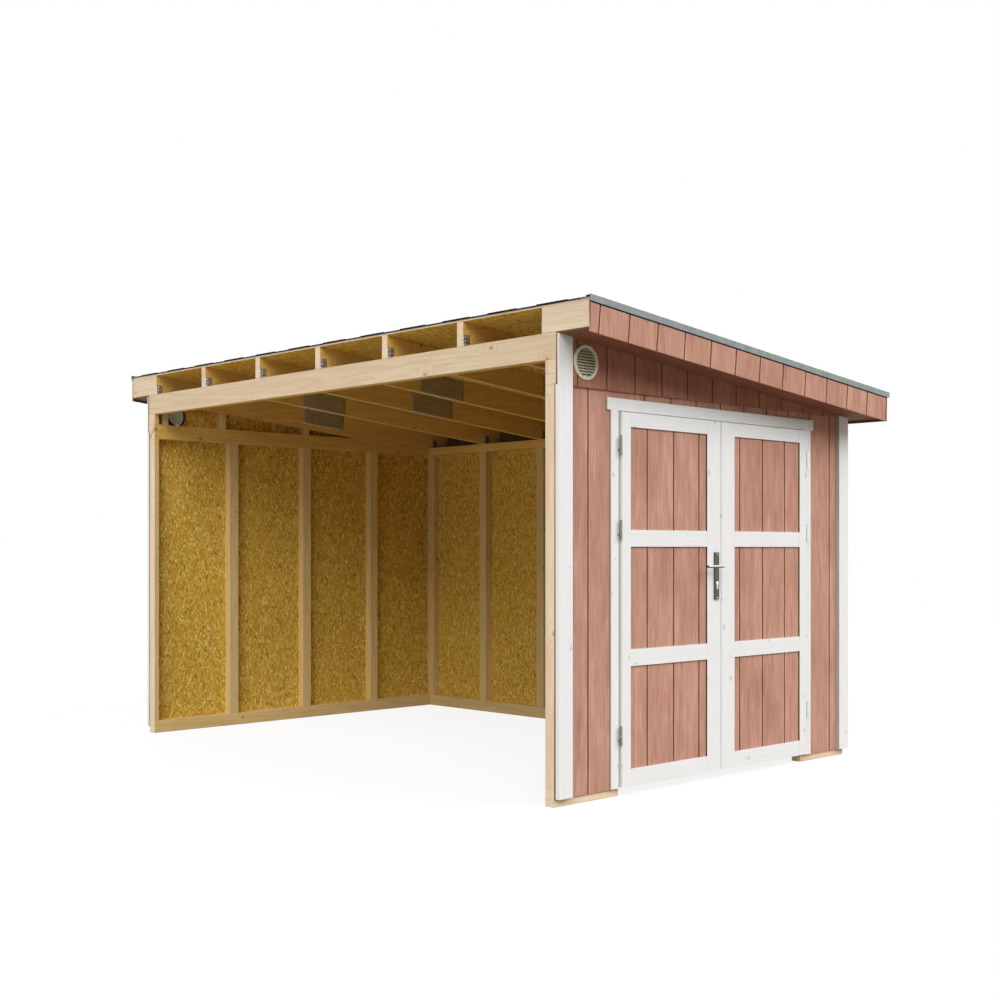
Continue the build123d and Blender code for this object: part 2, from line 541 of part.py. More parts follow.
key_plane = Plane((spindle_x, LEAF_FRONT_Y, KEYHOLE_HEIGHT), x_dir=(1, 0, 0), z_dir=(0, -1, 0))
keyhole += key_plane * Cylinder(KEYHOLE_DIAMETER / 2, 2 * LOCK_PLATE_THICKNESS)
outer_plate = outer_plate - spindle_bore - keyhole
nodes["lock_plates"] = [outer_plate, mirror(outer_plate, about=leaf_middle)]
nodes["left_door_stiles"] = [hinge_stile, meeting_stile - spindle_bore]
nodes["right_door_stiles"] = [both_jambs(stile)[1] for stile in (hinge_stile, meeting_stile)]

neck_start = LEAF_THICKNESS / 2 + LOCK_PLATE_THICKNESS + LEVER_CLEARANCE
grip_offset = LEAF_THICKNESS / 2 + LEVER_REACH
lever_path = Polyline((0, 0, neck_start), (0, 0, grip_offset), (-LEVER_LENGTH, 0, grip_offset))
lever_section = Plane((0, 0, neck_start)) * Circle(LEVER_DIAMETER / 2)
grip = sweep(lever_section, path=lever_path, transition=Transition.RIGHT)
lever = grip + mirror(grip, about=Plane.XY) + Cylinder(SPINDLE_DIAMETER / 2, 2 * neck_start)
nodes["lever_handle"] = [spindle_middle * lever]

# Barrel hinges: the lower half and pin on the jamb, the upper half on the leaf
hinge_x = LEAF[0] - HINGE_ASIDE
hinge_y = LEAF_FRONT_Y - HINGE_FORWARD
half_height = HINGE_HEIGHT / 2
barrel_height = half_height - HINGE_END_CLEARANCE
lug_z = (-HINGE_LUG / 2, HINGE_LUG / 2)
below = (Align.CENTER, Align.CENTER, Align.MAX)
jamb_half = Cylinder(HINGE_DIAMETER / 2, half_height, align=below)
jamb_half += Cylinder(HINGE_PIN / 2, barrel_height, align=on_base)
jamb_lug = block((-HINGE_LUG / 2, HINGE_LUG / 2), (0, SURROUND_Y - hinge_y), lug_z)
jamb_half += Pos(-HINGE_LUG / 4, 0, -half_height / 2) * jamb_lug
leaf_half = Pos(0, 0, HINGE_END_CLEARANCE) * Cylinder(HINGE_DIAMETER / 2, barrel_height, align=on_base)
leaf_lug = block((0, HINGE_ASIDE), (0, HINGE_DIAMETER / 2), lug_z)
leaf_half += Pos(0, 0, half_height / 2) * leaf_lug
leaf_half -= Cylinder(HINGE_PIN / 2 + HINGE_PIN_CLEARANCE, barrel_height, align=on_base)
hinge_heights = (LEAF_BOTTOM + HINGE_LOW, LEAF_TOP - HINGE_MIDDLE, LEAF_TOP - HINGE_HIGH)
jamb_halves = [Pos(hinge_x, hinge_y, z) * jamb_half for z in hinge_heights]
leaf_halves = [Pos(hinge_x, hinge_y, z) * leaf_half for z in hinge_heights]
nodes["frame_hinges"] = [half for solid in jamb_halves for half in both_jambs(solid)]
nodes["left_door_hinges"] = leaf_halves
nodes["right_door_hinges"] = [both_jambs(half)[1] for half in leaf_halves]

os.makedirs("parts", exist_ok=True)
for name, shapes in nodes.items():
    solids = [solid for shape in shapes for solid in shape.solids()]
    export_step(Compound(solids), f"parts/{name}.step")
print(len(nodes), "nodes written to parts")
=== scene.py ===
# %% [markdown]
# # A lean-to garden shed, dressed for its portrait
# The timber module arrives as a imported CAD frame: every stud, board, hinge and roof layer is already in its
# place, in metres. This lesson adds what CAD leaves out, which is mostly surface: sawn spruce, stained
# siding, primed boards, strand board, zinc and bitumen. It also adds the small pieces that are cut or driven
# on site, such as shingle tabs, nails and hinge washers.

# %% Load the frame
import math

import bmesh
import bpy
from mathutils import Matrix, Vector


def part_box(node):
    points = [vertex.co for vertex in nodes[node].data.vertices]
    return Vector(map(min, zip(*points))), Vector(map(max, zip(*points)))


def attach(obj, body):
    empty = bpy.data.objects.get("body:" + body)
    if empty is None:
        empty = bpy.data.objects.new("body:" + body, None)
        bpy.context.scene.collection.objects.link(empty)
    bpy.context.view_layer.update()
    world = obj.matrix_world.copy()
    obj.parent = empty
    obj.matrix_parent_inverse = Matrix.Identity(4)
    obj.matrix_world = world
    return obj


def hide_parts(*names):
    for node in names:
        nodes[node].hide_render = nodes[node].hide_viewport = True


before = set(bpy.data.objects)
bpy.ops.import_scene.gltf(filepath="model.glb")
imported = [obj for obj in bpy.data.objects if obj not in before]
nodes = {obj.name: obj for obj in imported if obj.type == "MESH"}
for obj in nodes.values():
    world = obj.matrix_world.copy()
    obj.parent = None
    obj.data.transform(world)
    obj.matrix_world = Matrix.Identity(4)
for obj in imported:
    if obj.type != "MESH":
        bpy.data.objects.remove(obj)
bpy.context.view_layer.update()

# %% [markdown]
# ## The camera
# The photograph was taken level, at about chest height, from off the corner between the open side and the
# front. A level camera keeps the posts upright, so the picture is framed by shifting the lens up rather than
# by tilting. The place and the focal length were solved from the straight edges of the building.

# %% Camera
EYE = (-5.975, -6.359, 1.216)
YAW = 0.805  # radians from the X axis to the line of sight
PICTURE = 1000  # pixels along each side of the photograph
FOCAL_PIXELS = 1381.9
HORIZON_ROW = 548.9
SENSOR = 36.0  # millimetres

camera_data = bpy.data.cameras.new("portrait_camera")
camera_data.sensor_width = SENSOR
camera_data.lens = FOCAL_PIXELS / PICTURE * SENSOR
camera_data.shift_y = (HORIZON_ROW - PICTURE / 2) / PICTURE
camera = bpy.data.objects.new("portrait_camera", camera_data)
camera.location = EYE
camera.rotation_euler = (math.pi / 2, 0, YAW - math.pi / 2)
bpy.context.scene.collection.objects.link(camera)
bpy.context.scene.camera = camera
print("lens", round(camera_data.lens, 2), "mm, shift", round(camera_data.shift_y, 4))

# %% [markdown]
# ## Colour and nodes
# Colours are written as they look on a screen, in hex. Shaders work with linear light, so one function turns
# hex to linear. Another one adds a node to a material with its settings and its links, which keeps each
# finish below short enough to read as a recipe.

# %% Helpers for finishes
def linear(colour):
    """The linear values of an sRGB hex colour."""
    parts = [int(colour[k:k + 2], 16) / 255 for k in (1, 3, 5)]
    return [p / 12.92 if p <= 0.04045 else ((p + 0.055) / 1.055) ** 2.4 for p in parts] + [1.0]


def add(tree, kind, inputs=None, stops=None, **settings):
    """Adds one node. Inputs are values or sockets to link, and stops are those of a colour ramp."""
    made = tree.nodes.new(kind)
    for name, value in settings.items():
        setattr(made, name, value)
    for name, value in (inputs or {}).items():
        if isinstance(value, bpy.types.NodeSocket):
            tree.links.new(value, made.inputs[name])
        else:
            made.inputs[name].default_value = value
    if stops:
        points = made.color_ramp.elements
        while len(points) < len(stops):
            points.new(1.0)
        for point, (place, colour) in zip(points, stops):
            point.position = place
            point.color = linear(colour)
    return made


def start_finish(name, **sockets):
    """A material with its shader's plain values, and the place of each point of the piece, in metres."""
    material = bpy.data.materials.new(name)
    material.use_nodes = True
    tree = material.node_tree
    shader = tree.nodes["Principled BSDF"]
    for socket, value in sockets.items():
        shader.inputs[socket.replace("_", " ")].default_value = value
    place = add(tree, "ShaderNodeTexCoord").outputs["Object"]
    return material, tree, shader, place


MM = 0.001
NOISE_STOPS = (0.3, 0.5, 0.7)  # noise lies mostly between the outer two
print("white is", [round(v, 2) for v in linear("#ffffff")])

# %% [markdown]
# ## Spruce
# The frame is planed spruce, left bare. The eye sees a cream ground, growth rings that run along the timber
# as streaks and bend round the knots, and brown knots. Solid noise stretched along the timber, cut into
# bands, gives rings that go through the timber, so that an end shows them too. True rings are 2 to 4 mm apart,
# which is less than a pixel here, so the bands are drawn about 14 mm apart. Voronoi cells place the knots.
# Faces on the open side are pale, and the beam's face there has a darker copy of the finish, as painted shade.
# Inside, the studs have a darker copy and the timbers under the roof a golden one, which are painted shade,
# warm like light that bounces between the boards.

# %% Patterns of wood
RING_FIELD = 100 * MM
RINGS_PER_FIELD = 7
RING_BEND = 0.22  # how far a knot pushes the rings aside, in fields
KNOT_STRETCH = 0.75  # below 1, knots are longer along the timber
KNOT_SIZES = (0.3, 1.0)  # shares of the radius that is asked for
KNOT_RAGGED = 1.4  # how far noise eats into a knot, in radii
KNOT_FULL, KNOT_END, SWELL_END = 0.8, 1.7, 4  # where heart and swell start to fade and end, in radii


def knots(tree, place, along, radius, spacing):
    """1 in the middle of a knot and 0 at its rim, and a wider swell round it, on any face along the timber."""
    first, second = [axis for axis in range(3) if axis != along]
    parts = add(tree, "ShaderNodeSeparateXYZ", {0: place}).outputs
    across = add(tree, "ShaderNodeMath", {0: parts[first], 1: parts[second]}, operation="ADD")
    length = add(tree, "ShaderNodeMath", {0: parts[along], 1: KNOT_STRETCH}, operation="MULTIPLY")
    face = add(tree, "ShaderNodeCombineXYZ", {0: length.outputs[0], 1: across.outputs[0]})
    cells = add(tree, "ShaderNodeTexVoronoi", {"Vector": face.outputs[0], "Scale": 1 / spacing},
                voronoi_dimensions="2D")
    chance = add(tree, "ShaderNodeSeparateColor", {0: cells.outputs["Color"]}).outputs[0]
    size = add(tree, "ShaderNodeMapRange", {0: chance, 3: KNOT_SIZES[0], 4: KNOT_SIZES[1]})
    reach = add(tree, "ShaderNodeMath", {0: cells.outputs["Distance"], 1: size.outputs[0]}, operation="DIVIDE")
    rim = radius / spacing
    wobble = add(tree, "ShaderNodeTexNoise", {"Vector": place, "Scale": 1 / radius, "Detail": 2.0})
    ragged = add(tree, "ShaderNodeMath", {0: wobble.outputs[0], 1: rim * KNOT_RAGGED, 2: reach.outputs[0]},
                 operation="MULTIPLY_ADD")
    heart = add(tree, "ShaderNodeMapRange", {
        0: ragged.outputs[0], 1: rim * KNOT_FULL, 2: rim * KNOT_END, 3: 1.0, 4: 0.0})
    swell = add(tree, "ShaderNodeMapRange", {0: reach.outputs[0], 1: rim, 2: rim * SWELL_END, 3: 1.0, 4: 0.0})
    return heart.outputs[0], swell.outputs[0]


def run_of(tree, place, along, share):
    """The place, squeezed along one axis so that noise stretches along it."""
    scale = [1.0, 1.0, 1.0]
    scale[along] = share
    return add(tree, "ShaderNodeVectorMath", {0: place, 1: scale}, operation="MULTIPLY").outputs[0]


def streaks(tree, place, along, width, share=0.04, detail=3.0):
    """Fibres along the timber: a noise as wide as given, and longer by the share."""
    fibre = add(tree, "ShaderNodeTexNoise", {
        "Vector": run_of(tree, place, along, share), "Scale": 1 / width, "Detail": detail, "Roughness": 0.55})
    return fibre.outputs[0]


def rings(tree, place, along, swell):
    """Bands of early and late wood that follow the timber and bend round its knots."""
    field = streaks(tree, place, along, RING_FIELD, 0.06, 2.0)
    bent = add(tree, "ShaderNodeMath", {0: swell, 1: RING_BEND, 2: field}, operation="MULTIPLY_ADD")
    turns = add(tree, "ShaderNodeMath", {0: bent.outputs[0], 1: 2 * math.pi * RINGS_PER_FIELD},
                operation="MULTIPLY")
    wave = add(tree, "ShaderNodeMath", {0: turns.outputs[0]}, operation="SINE")
    return add(tree, "ShaderNodeMapRange", {0: wave.outputs[0], 1: -1.0, 2: 1.0}).outputs[0]


print(RINGS_PER_FIELD, "rings in", round(RING_FIELD / MM), "mm")

# %% Planed spruce
TIMBER_KNOT, TIMBER_KNOT_SPACING = 17 * MM, 320 * MM
TIMBER_FIBRE, BLUSH_WIDTH, BOARD_WIDTH = 8 * MM, 150 * MM, 170 * MM
BLUSH_SHARE, LATE_SHARE, KNOT_SHARE = 0.6, 0.34, 0.65  # how far each colour covers the ground
BOARD_TONES = (0.94, 1.04)  # from the darkest board to the lightest


def spruce(name, along, ground, blush, late, knot):
    material, tree, shader, place = start_finish(name, Roughness=0.62, Specular_IOR_Level=0.3)
    heart, swell = knots(tree, place, along, TIMBER_KNOT, TIMBER_KNOT_SPACING)
    fibre = streaks(tree, place, along, TIMBER_FIBRE)
    wood = add(tree, "ShaderNodeValToRGB", {0: fibre}, list(zip(NOISE_STOPS, ground)))
    patch = streaks(tree, place, along, BLUSH_WIDTH, 0.25, 1.0)
    flush = add(tree, "ShaderNodeMapRange", {0: patch, 1: 0.42, 2: 0.66, 3: 0.0, 4: BLUSH_SHARE})
    rosy = add(tree, "ShaderNodeMix", {0: flush.outputs[0], 6: wood.outputs[0], 7: linear(blush)},
               data_type="RGBA")
    wave = rings(tree, place, along, swell)
    band = add(tree, "ShaderNodeMapRange", {0: wave, 1: 0.45, 2: 1.0, 3: 0.0, 4: LATE_SHARE})
    ringed = add(tree, "ShaderNodeMix", {0: band.outputs[0], 6: rosy.outputs[2], 7: linear(late)},
                 data_type="RGBA")
    core = add(tree, "ShaderNodeValToRGB", {0: heart}, list(zip((0.0, 0.45, 1.0), knot)))
    edge = add(tree, "ShaderNodeMapRange", {0: heart, 1: 0.0, 2: 0.6, 3: 0.0, 4: KNOT_SHARE})
    knotty = add(tree, "ShaderNodeMix", {0: edge.outputs[0], 6: ringed.outputs[2], 7: core.outputs[0]},
                 data_type="RGBA")
    board = streaks(tree, place, along, BOARD_WIDTH, 0.02, 0.0)
    tone = add(tree, "ShaderNodeMapRange", {0: board, 1: 0.3, 2: 0.7, 3: BOARD_TONES[0], 4: BOARD_TONES[1]})
    toned = add(tree, "ShaderNodeHueSaturation", {"Color": knotty.outputs[2], "Value": tone.outputs[0]})
    tree.links.new(toned.outputs[0], shader.inputs["Base Color"])
    relief = add(tree, "ShaderNodeBump", {"Strength": 0.25, "Distance": 0.6 * MM, "Height": fibre})
    tree.links.new(relief.outputs[0], shader.inputs["Normal"])
    return material


pale = [spruce("planed_spruce_" + letter, axis, ("#dfccaf", "#e8d5b8", "#eedcc5"), "#eaccb2", "#d9b992",
               ("#cbab80", "#ae8c64", "#8f7150")) for axis, letter in enumerate("xyz")]
# Painted shade: a darker copy of the pale finish for the beam's open face
beam_spruce_shade = spruce("spruce_beam_painted_shade", 1, ("#cfbc9e", "#d8c5a7", "#dfcdb4"), "#dabca1", "#c8a881",
                   ("#c3a378", "#a5845d", "#876a4a"))
# Painted shade: darker copies for the studs inside, and golden copies for timbers under the roof, warm like
# bounced light
stud_spruce_shade = [spruce("stud_spruce_painted_shade_" + letter, axis, ("#cfb47b", "#d9be85", "#e0c892"), "#d9b880", "#c7a464",
               ("#b98f56", "#8f6a3c", "#745433")) for axis, letter in enumerate("xyz")]
warm_spruce_shade = [spruce("spruce_warm_painted_shade_" + letter, axis, ("#d2ab5a", "#dbb766", "#e2c176"), "#ddb062", "#c89a49",
                ("#b08446", "#8a602f", "#704b24")) for axis, letter in enumerate("xyz")]
print("spruce finishes", [finish.name for finish in pale + [beam_spruce_shade] + stud_spruce_shade + warm_spruce_shade])

# %% [markdown]
# ## Stained siding
# The walls are grooved sheets with a wood grain pressed into them, stained a soft brick red in the factory.
# The eye sees upright streaks that start and stop, clouds where the stain took better, and dark grooves.
# Three widths of stretched noise make the grain, a slow noise warms and cools the red, and the grooves get a
# darker finish of their own, which is partly stain that collects there and partly painted shade. The gable
# sheets and the soffits have darker stains still, which are painted shade for the shade under the roof.

# %% Stained siding
STREAK_WIDTH = 30 * MM
FIBRE_WIDTH = 8 * MM
CLOUD_WIDTH = 150 * MM
WARMTH_WIDTH = 70 * MM
FIBRE_SHARE, CLOUD_SHARE, COOL_SHARE = 0.55, 0.35, 0.55


def stained(name, dark, middle, light, cool):
    material, tree, shader, place = start_finish(name, Roughness=0.7, Specular_IOR_Level=0.25)
    wide = streaks(tree, place, 2, STREAK_WIDTH, 0.12)
    fine = streaks(tree, place, 2, FIBRE_WIDTH, 0.06)
    cloud = streaks(tree, place, 2, CLOUD_WIDTH, 0.4)
    grain = add(tree, "ShaderNodeMix", {0: FIBRE_SHARE, 6: wide, 7: fine}, data_type="RGBA").outputs[2]
    grain = add(tree, "ShaderNodeMix", {0: CLOUD_SHARE, 6: grain, 7: cloud}, data_type="RGBA").outputs[2]
    tone = add(tree, "ShaderNodeValToRGB", {0: grain}, [(0.39, dark), (0.5, middle), (0.61, light)])
    slow = streaks(tree, place, 2, WARMTH_WIDTH, 0.35)
    turn = add(tree, "ShaderNodeMapRange", {0: slow, 1: 0.45, 2: 0.65, 3: 0.0, 4: COOL_SHARE})
    shown = add(tree, "ShaderNodeMix", {0: turn.outputs[0], 6: tone.outputs[0], 7: linear(cool)},
                data_type="RGBA")
    tree.links.new(shown.outputs[2], shader.inputs["Base Color"])
    relief = add(tree, "ShaderNodeBump", {"Strength": 0.3, "Distance": 0.8 * MM, "Height": fine})
    tree.links.new(relief.outputs[0], shader.inputs["Normal"])
    return material


siding = stained("stained_siding", "#a87a69", "#bc8b79", "#cb9f8e", "#b98f7a")
# Painted shade: the gable stain is the siding stain darkened for the shade under the verge
gable_siding_and_shade = stained("stained_gable_siding_painted_shade", "#905e4b", "#a16c58", "#b07f6b", "#9f705a")
# Stain that collects in the grooves, with painted shade in it
groove_stain_and_shade = stained("stain_and_painted_shade_in_groove", "#6b3b2d", "#7c4838", "#8a5343", "#75483a")
# Painted shade for the recess edges round the door panels
crease_shade = stained("painted_shade_on_panel_edge", "#3a2118", "#452a1f", "#503226", "#40281e")
# Painted shade: the red stain of the soffits is darkened for the shade under the roof
soffit_stain_and_shade = stained("stained_soffit_board_painted_shade", "#6a3b26", "#794931", "#86573d", "#744b33")
# Painted shade: dark brown for the backs of fascias and the hidden faces of soffits, for the shade inside the
# eave boxes
board_back_shade = stained("board_back_painted_shade", "#4d3c29", "#5f4b34", "#6d583f", "#584832")
print("stains", siding.name, gable_siding_and_shade.name, groove_stain_and_shade.name, soffit_stain_and_shade.name)

# %% [markdown]
# ## Strand board
# From inside, the same sheets and the roof deck show bare strand board: flat flakes of wood, glued in all
# directions. Three layers of Voronoi cells, each stretched another way, stand for the strands, and a coarse
# noise decides which layer is on top. Each cell has a tone of its own, from straw to brown.

# %% Strand board
STRAND_LENGTH = 30 * MM
STRAND_WIDTH = 5 * MM
STRAND_PATCH = 30 * MM
STRAND_TURNS = (8, -24, 38)  # degrees from upright, one for each layer


def strand_board(name, facing, dark, middle, light):
    material, tree, shader, place = start_finish(name, Roughness=0.75, Specular_IOR_Level=0.2)
    layers = []
    for turn in STRAND_TURNS:
        spin = [0.0, 0.0, 0.0]
        spin[facing] = math.radians(turn)
        turned = add(tree, "ShaderNodeMapping", {"Vector": place, "Rotation": spin}).outputs[0]
        upright = 0 if facing == 2 else 2
        flake = run_of(tree, turned, upright, STRAND_WIDTH / STRAND_LENGTH)
        cells = add(tree, "ShaderNodeTexVoronoi", {"Vector": flake, "Scale": 1 / STRAND_WIDTH})
        layers.append(add(tree, "ShaderNodeSeparateColor", {0: cells.outputs["Color"]}).outputs[0])
    chooser = add(tree, "ShaderNodeTexNoise", {"Vector": place, "Scale": 1 / STRAND_PATCH, "Detail": 1.0})
    first = add(tree, "ShaderNodeMapRange", {0: chooser.outputs[0], 1: 0.44, 2: 0.48})
    second = add(tree, "ShaderNodeMapRange", {0: chooser.outputs[0], 1: 0.54, 2: 0.58})
    strand = add(tree, "ShaderNodeMix", {0: first.outputs[0], 6: layers[0], 7: layers[1]}, data_type="RGBA")
    strand = add(tree, "ShaderNodeMix", {0: second.outputs[0], 6: strand.outputs[2], 7: layers[2]},
                 data_type="RGBA").outputs[2]
    tone = add(tree, "ShaderNodeValToRGB", {0: strand},
               [(0.0, dark), (0.18, middle), (0.62, middle), (0.95, light)])
    tree.links.new(tone.outputs[0], shader.inputs["Base Color"])
    relief = add(tree, "ShaderNodeBump", {"Strength": 0.4, "Distance": 0.8 * MM, "Height": strand})
    tree.links.new(relief.outputs[0], shader.inputs["Normal"])
    return material


STRANDS = ("#6a4b10", "#c79d36", "#f1d97f")
strands_x, strands_y, strands_z = [
    strand_board("strand_board_" + letter, axis, *STRANDS) for axis, letter in enumerate("xyz")]
print("strand board facing", strands_x.name, strands_y.name, strands_z.name)

# %% [markdown]
# ## Primed boards
# Corner boards and door frames are spruce with a coat of white primer. Knots bleed through it as soft grey
# spots, and the fibres stand up a little under the thin paint. The narrow edges have grey copies of the
# primer, which are painted shade.

# %% White primed boards
PRIMED_KNOT, PRIMED_KNOT_SPACING = 18 * MM, 210 * MM
PRIMED_FIBRE = 9 * MM
BLEED = 0.6  # how far a knot shows through


def primed(name, along, shades=("#e4e6e8", "#e8eaec", "#ebedee")):
    material, tree, shader, place = start_finish(name, Roughness=0.5, Specular_IOR_Level=0.4)
    fibre = streaks(tree, place, along, PRIMED_FIBRE)
    coat = add(tree, "ShaderNodeValToRGB", {0: fibre}, list(zip(NOISE_STOPS, shades)))
    heart = knots(tree, place, along, PRIMED_KNOT, PRIMED_KNOT_SPACING)[0]
    bleed = add(tree, "ShaderNodeMapRange", {0: heart, 1: 0.0, 2: 0.8, 3: 0.0, 4: BLEED})
    shown = add(tree, "ShaderNodeMix", {0: bleed.outputs[0], 6: coat.outputs[0], 7: linear("#b4b5b2")},
                data_type="RGBA")
    tree.links.new(shown.outputs[2], shader.inputs["Base Color"])
    relief = add(tree, "ShaderNodeBump", {"Strength": 0.15, "Distance": 0.4 * MM, "Height": fibre})
    tree.links.new(relief.outputs[0], shader.inputs["Normal"])
    return material


primed_x, primed_z = primed("primed_spruce_x", 0), primed("primed_spruce_z", 2)
# Grey copies of the primer, as painted shade on narrow edges
leaf_edge_shade = primed("primed_leaf_edge_painted_shade", 2, ("#c4c6c6", "#c9cbca", "#cecfcf"))
board_edge_shade = primed("primed_board_edge_painted_shade", 2, ("#9c9d94", "#a3a49c", "#aaaba4"))
print("primer on", primed_x.name, primed_z.name, leaf_edge_shade.name, board_edge_shade.name)

# %% [markdown]
# ## Metals, plastic and bitumen
# Galvanised sheet shows spangle, which is a patchwork of zinc crystals. The lock set is satin stainless steel,
# brushed along its length, and the upward faces of the lever get bright nickel as a painted highlight. The
# hinges
# are zinc plated, in two copies: the left leaf's hinges have a dark one, as painted shade, and the right leaf's
# a bright one, as painted light. The verge trim is sheet metal with grey paint. The vent is moulded plastic, and
# shingles are bitumen with slate granules.

# %% Galvanised steel
SPANGLE = 9 * MM
galvanised, tree, shader, place = start_finish("galvanised_steel", Metallic=1.0)
crystals = add(tree, "ShaderNodeTexVoronoi", {"Vector": place, "Scale": 1 / SPANGLE})
shade = add(tree, "ShaderNodeSeparateColor", {0: crystals.outputs["Color"]}).outputs[0]
zinc = add(tree, "ShaderNodeValToRGB", {0: shade}, [(0.0, "#a6aaab"), (0.6, "#b6babb"), (1.0, "#c6cacb")])
tree.links.new(zinc.outputs[0], shader.inputs["Base Color"])
matt = add(tree, "ShaderNodeMapRange", {0: shade, 3: 0.38, 4: 0.48})
tree.links.new(matt.outputs[0], shader.inputs["Roughness"])
print("spangle", round(SPANGLE / MM), "mm")

# %% Satin steel for the lock set, zinc plate, brass and nickel for the small fittings
BRUSH_LINE = 1.2 * MM


def brushed(name, colour_low, colour_high, roughness, along):
    material, tree, shader, place = start_finish(name, Metallic=1.0)
    lines = streaks(tree, place, along, BRUSH_LINE)
    steel = add(tree, "ShaderNodeValToRGB", {0: lines}, [(0.3, colour_low), (0.7, colour_high)])
    tree.links.new(steel.outputs[0], shader.inputs["Base Color"])
    matt = add(tree, "ShaderNodeMapRange", {0: lines, 3: roughness - 0.06, 4: roughness + 0.06})
    tree.links.new(matt.outputs[0], shader.inputs["Roughness"])
    return material


lock_steel = brushed("satin_stainless_steel", "#4d5048", "#696c61", 0.34, 2)
# Two copies of one zinc: a dark one as painted shade and a bright one as painted light
shaded_hinge_zinc = brushed("zinc_plated_steel_painted_shade", "#70736f", "#878a85", 0.42, 2)
lit_hinge_zinc = brushed("zinc_plate_painted_light", "#cdd0cc", "#e0e2de", 0.42, 2)
screw_zinc = brushed("zinc_plated_screws", "#a6a9a6", "#bdc0bc", 0.42, 2)
washer_brass = brushed("brass_washer", "#c9ad68", "#e0c98a", 0.3, 0)
nickel_and_lever_highlight = brushed("nickel_plated_brass_and_lever_highlight", "#ebebe8", "#f6f6f4", 0.35, 0)
print("metals", lock_steel.name, shaded_hinge_zinc.name, lit_hinge_zinc.name, washer_brass.name, nickel_and_lever_highlight.name)

# %% Painted trim and moulded vent
def speckled(name, colours, grain, roughness, bump):
    material, tree, shader, place = start_finish(name, Roughness=roughness)
    speck = add(tree, "ShaderNodeTexNoise", {"Vector": place, "Scale": 1 / grain, "Detail": 3.0})
    tone = add(tree, "ShaderNodeValToRGB", {0: speck.outputs[0]}, list(zip((0.3, 0.7), colours)))
    tree.links.new(tone.outputs[0], shader.inputs["Base Color"])
    relief = add(tree, "ShaderNodeBump", {"Strength": bump, "Distance": 0.3 * MM, "Height": speck.outputs[0]})
    tree.links.new(relief.outputs[0], shader.inputs["Normal"])
    return material


trim_paint = speckled("painted_sheet_metal", ("#7b8483", "#8d9695"), 60 * MM, 0.42, 0.05)
vent_plastic = speckled("moulded_polypropylene", ("#d6d4bf", "#e0decb"), 12 * MM, 0.5, 0.1)
# Painted shade for the recesses of the vent's louvres and the front of its rib
vent_shade = speckled("polypropylene_painted_shade", ("#7a7a6a", "#878776"), 12 * MM, 0.6, 0.1)
cut_edge = speckled("cut_edge_of_sheet_steel", ("#4f4b44", "#5e5950"), 4 * MM, 0.7, 0.1)
# Black plastic for the vent sleeves, which is painted shade inside the wall
sleeve_black_and_shade = speckled("black_polypropylene_painted_shade", ("#171715", "#21211e"), 12 * MM, 0.6, 0.1)
print("trim and vent", trim_paint.name, vent_plastic.name)

# %% Slate granules on bitumen
GRANULE = 4 * MM  # true granules are 1 to 2 mm, and are drawn larger to show
bitumen, tree, shader, place = start_finish("slate_granule_bitumen", Roughness=0.88, Specular_IOR_Level=0.25)
grit = add(tree, "ShaderNodeTexVoronoi", {"Vector": place, "Scale": 1 / GRANULE})
fleck = add(tree, "ShaderNodeSeparateColor", {0: grit.outputs["Color"]}).outputs[0]
slate = add(tree, "ShaderNodeValToRGB", {0: fleck}, [(0.0, "#121315"), (0.7, "#1f2023"), (1.0, "#3a3c40")])
tab_tone = add(tree, "ShaderNodeAttribute", attribute_name="tab_tone").outputs["Fac"]
tinted = add(tree, "ShaderNodeHueSaturation", {"Color": slate.outputs[0], "Value": tab_tone})
tree.links.new(tinted.outputs[0], shader.inputs["Base Color"])
relief = add(tree, "ShaderNodeBump", {"Strength": 0.6, "Distance": 1 * MM, "Height": grit.outputs["Distance"]})
tree.links.new(relief.outputs[0], shader.inputs["Normal"])
print("granules drawn at", round(GRANULE / MM), "mm")

# %% [markdown]
# ## Dressing the CAD pieces
# A CAD node keeps its mesh, and each of its faces is told which finish it has. A siding sheet, for example,
# is stained outside, dark in its grooves and bare inside. Timbers and boards also get a small rounded arris
# from modifiers: the mesh is welded, its flat faces are merged, and its sharp edges are bevelled.

# %% Helpers that dress CAD nodes
FACING, LEANING = 0.9, 0.5  # how much of a normal lies along an axis, for a face square to it or only tilted
ARRIS, LEAF_ARRIS = 2 * MM, 1 * MM
WELD = 0.02 * MM


def paint(name, pick):
    """Gives each face of a CAD node the finish that pick chooses from its normal and its middle."""
    mesh = nodes[name].data
    mesh.materials.clear()
    chosen = [pick(face.normal, face.center) for face in mesh.polygons]
    finishes = list(dict.fromkeys(chosen))
    for finish in finishes:
        mesh.materials.append(finish)
    for face, finish in zip(mesh.polygons, chosen):
        face.material_index = finishes.index(finish)


def ease(name, width):
    """Rounds the arrises of a CAD node's boards."""
    piece = nodes[name]
    weld = piece.modifiers.new("weld", "WELD")
    weld.merge_threshold = WELD
    merge = piece.modifiers.new("merge_flat", "DECIMATE")
    merge.decimate_type = "DISSOLVE"
    merge.angle_limit = math.radians(1)
    merge.delimit = {"MATERIAL"}
    bevel = piece.modifiers.new("arris", "BEVEL")
    bevel.width = width
    bevel.segments = 2
    bevel.limit_method = "ANGLE"
    bevel.angle_limit = math.radians(30)


# %% Timbers
OPEN_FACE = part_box("open_side_beam")[0].x
ALONG = {
    "front_studs": 2, "back_studs": 2, "side_studs": 2, "gable_studs": 2, "door_lintel": 0, "open_side_beam": 1,
    "gable_bottom_plates": 0, "gable_top_plates": 0, "rafters": 0, "verge_blocks": 1, "barge_rafters": 0,
}


def open_side_face(normal, middle):
    """True for a face that looks out of the open side."""
    return normal.x < -FACING and middle.x < OPEN_FACE + MM


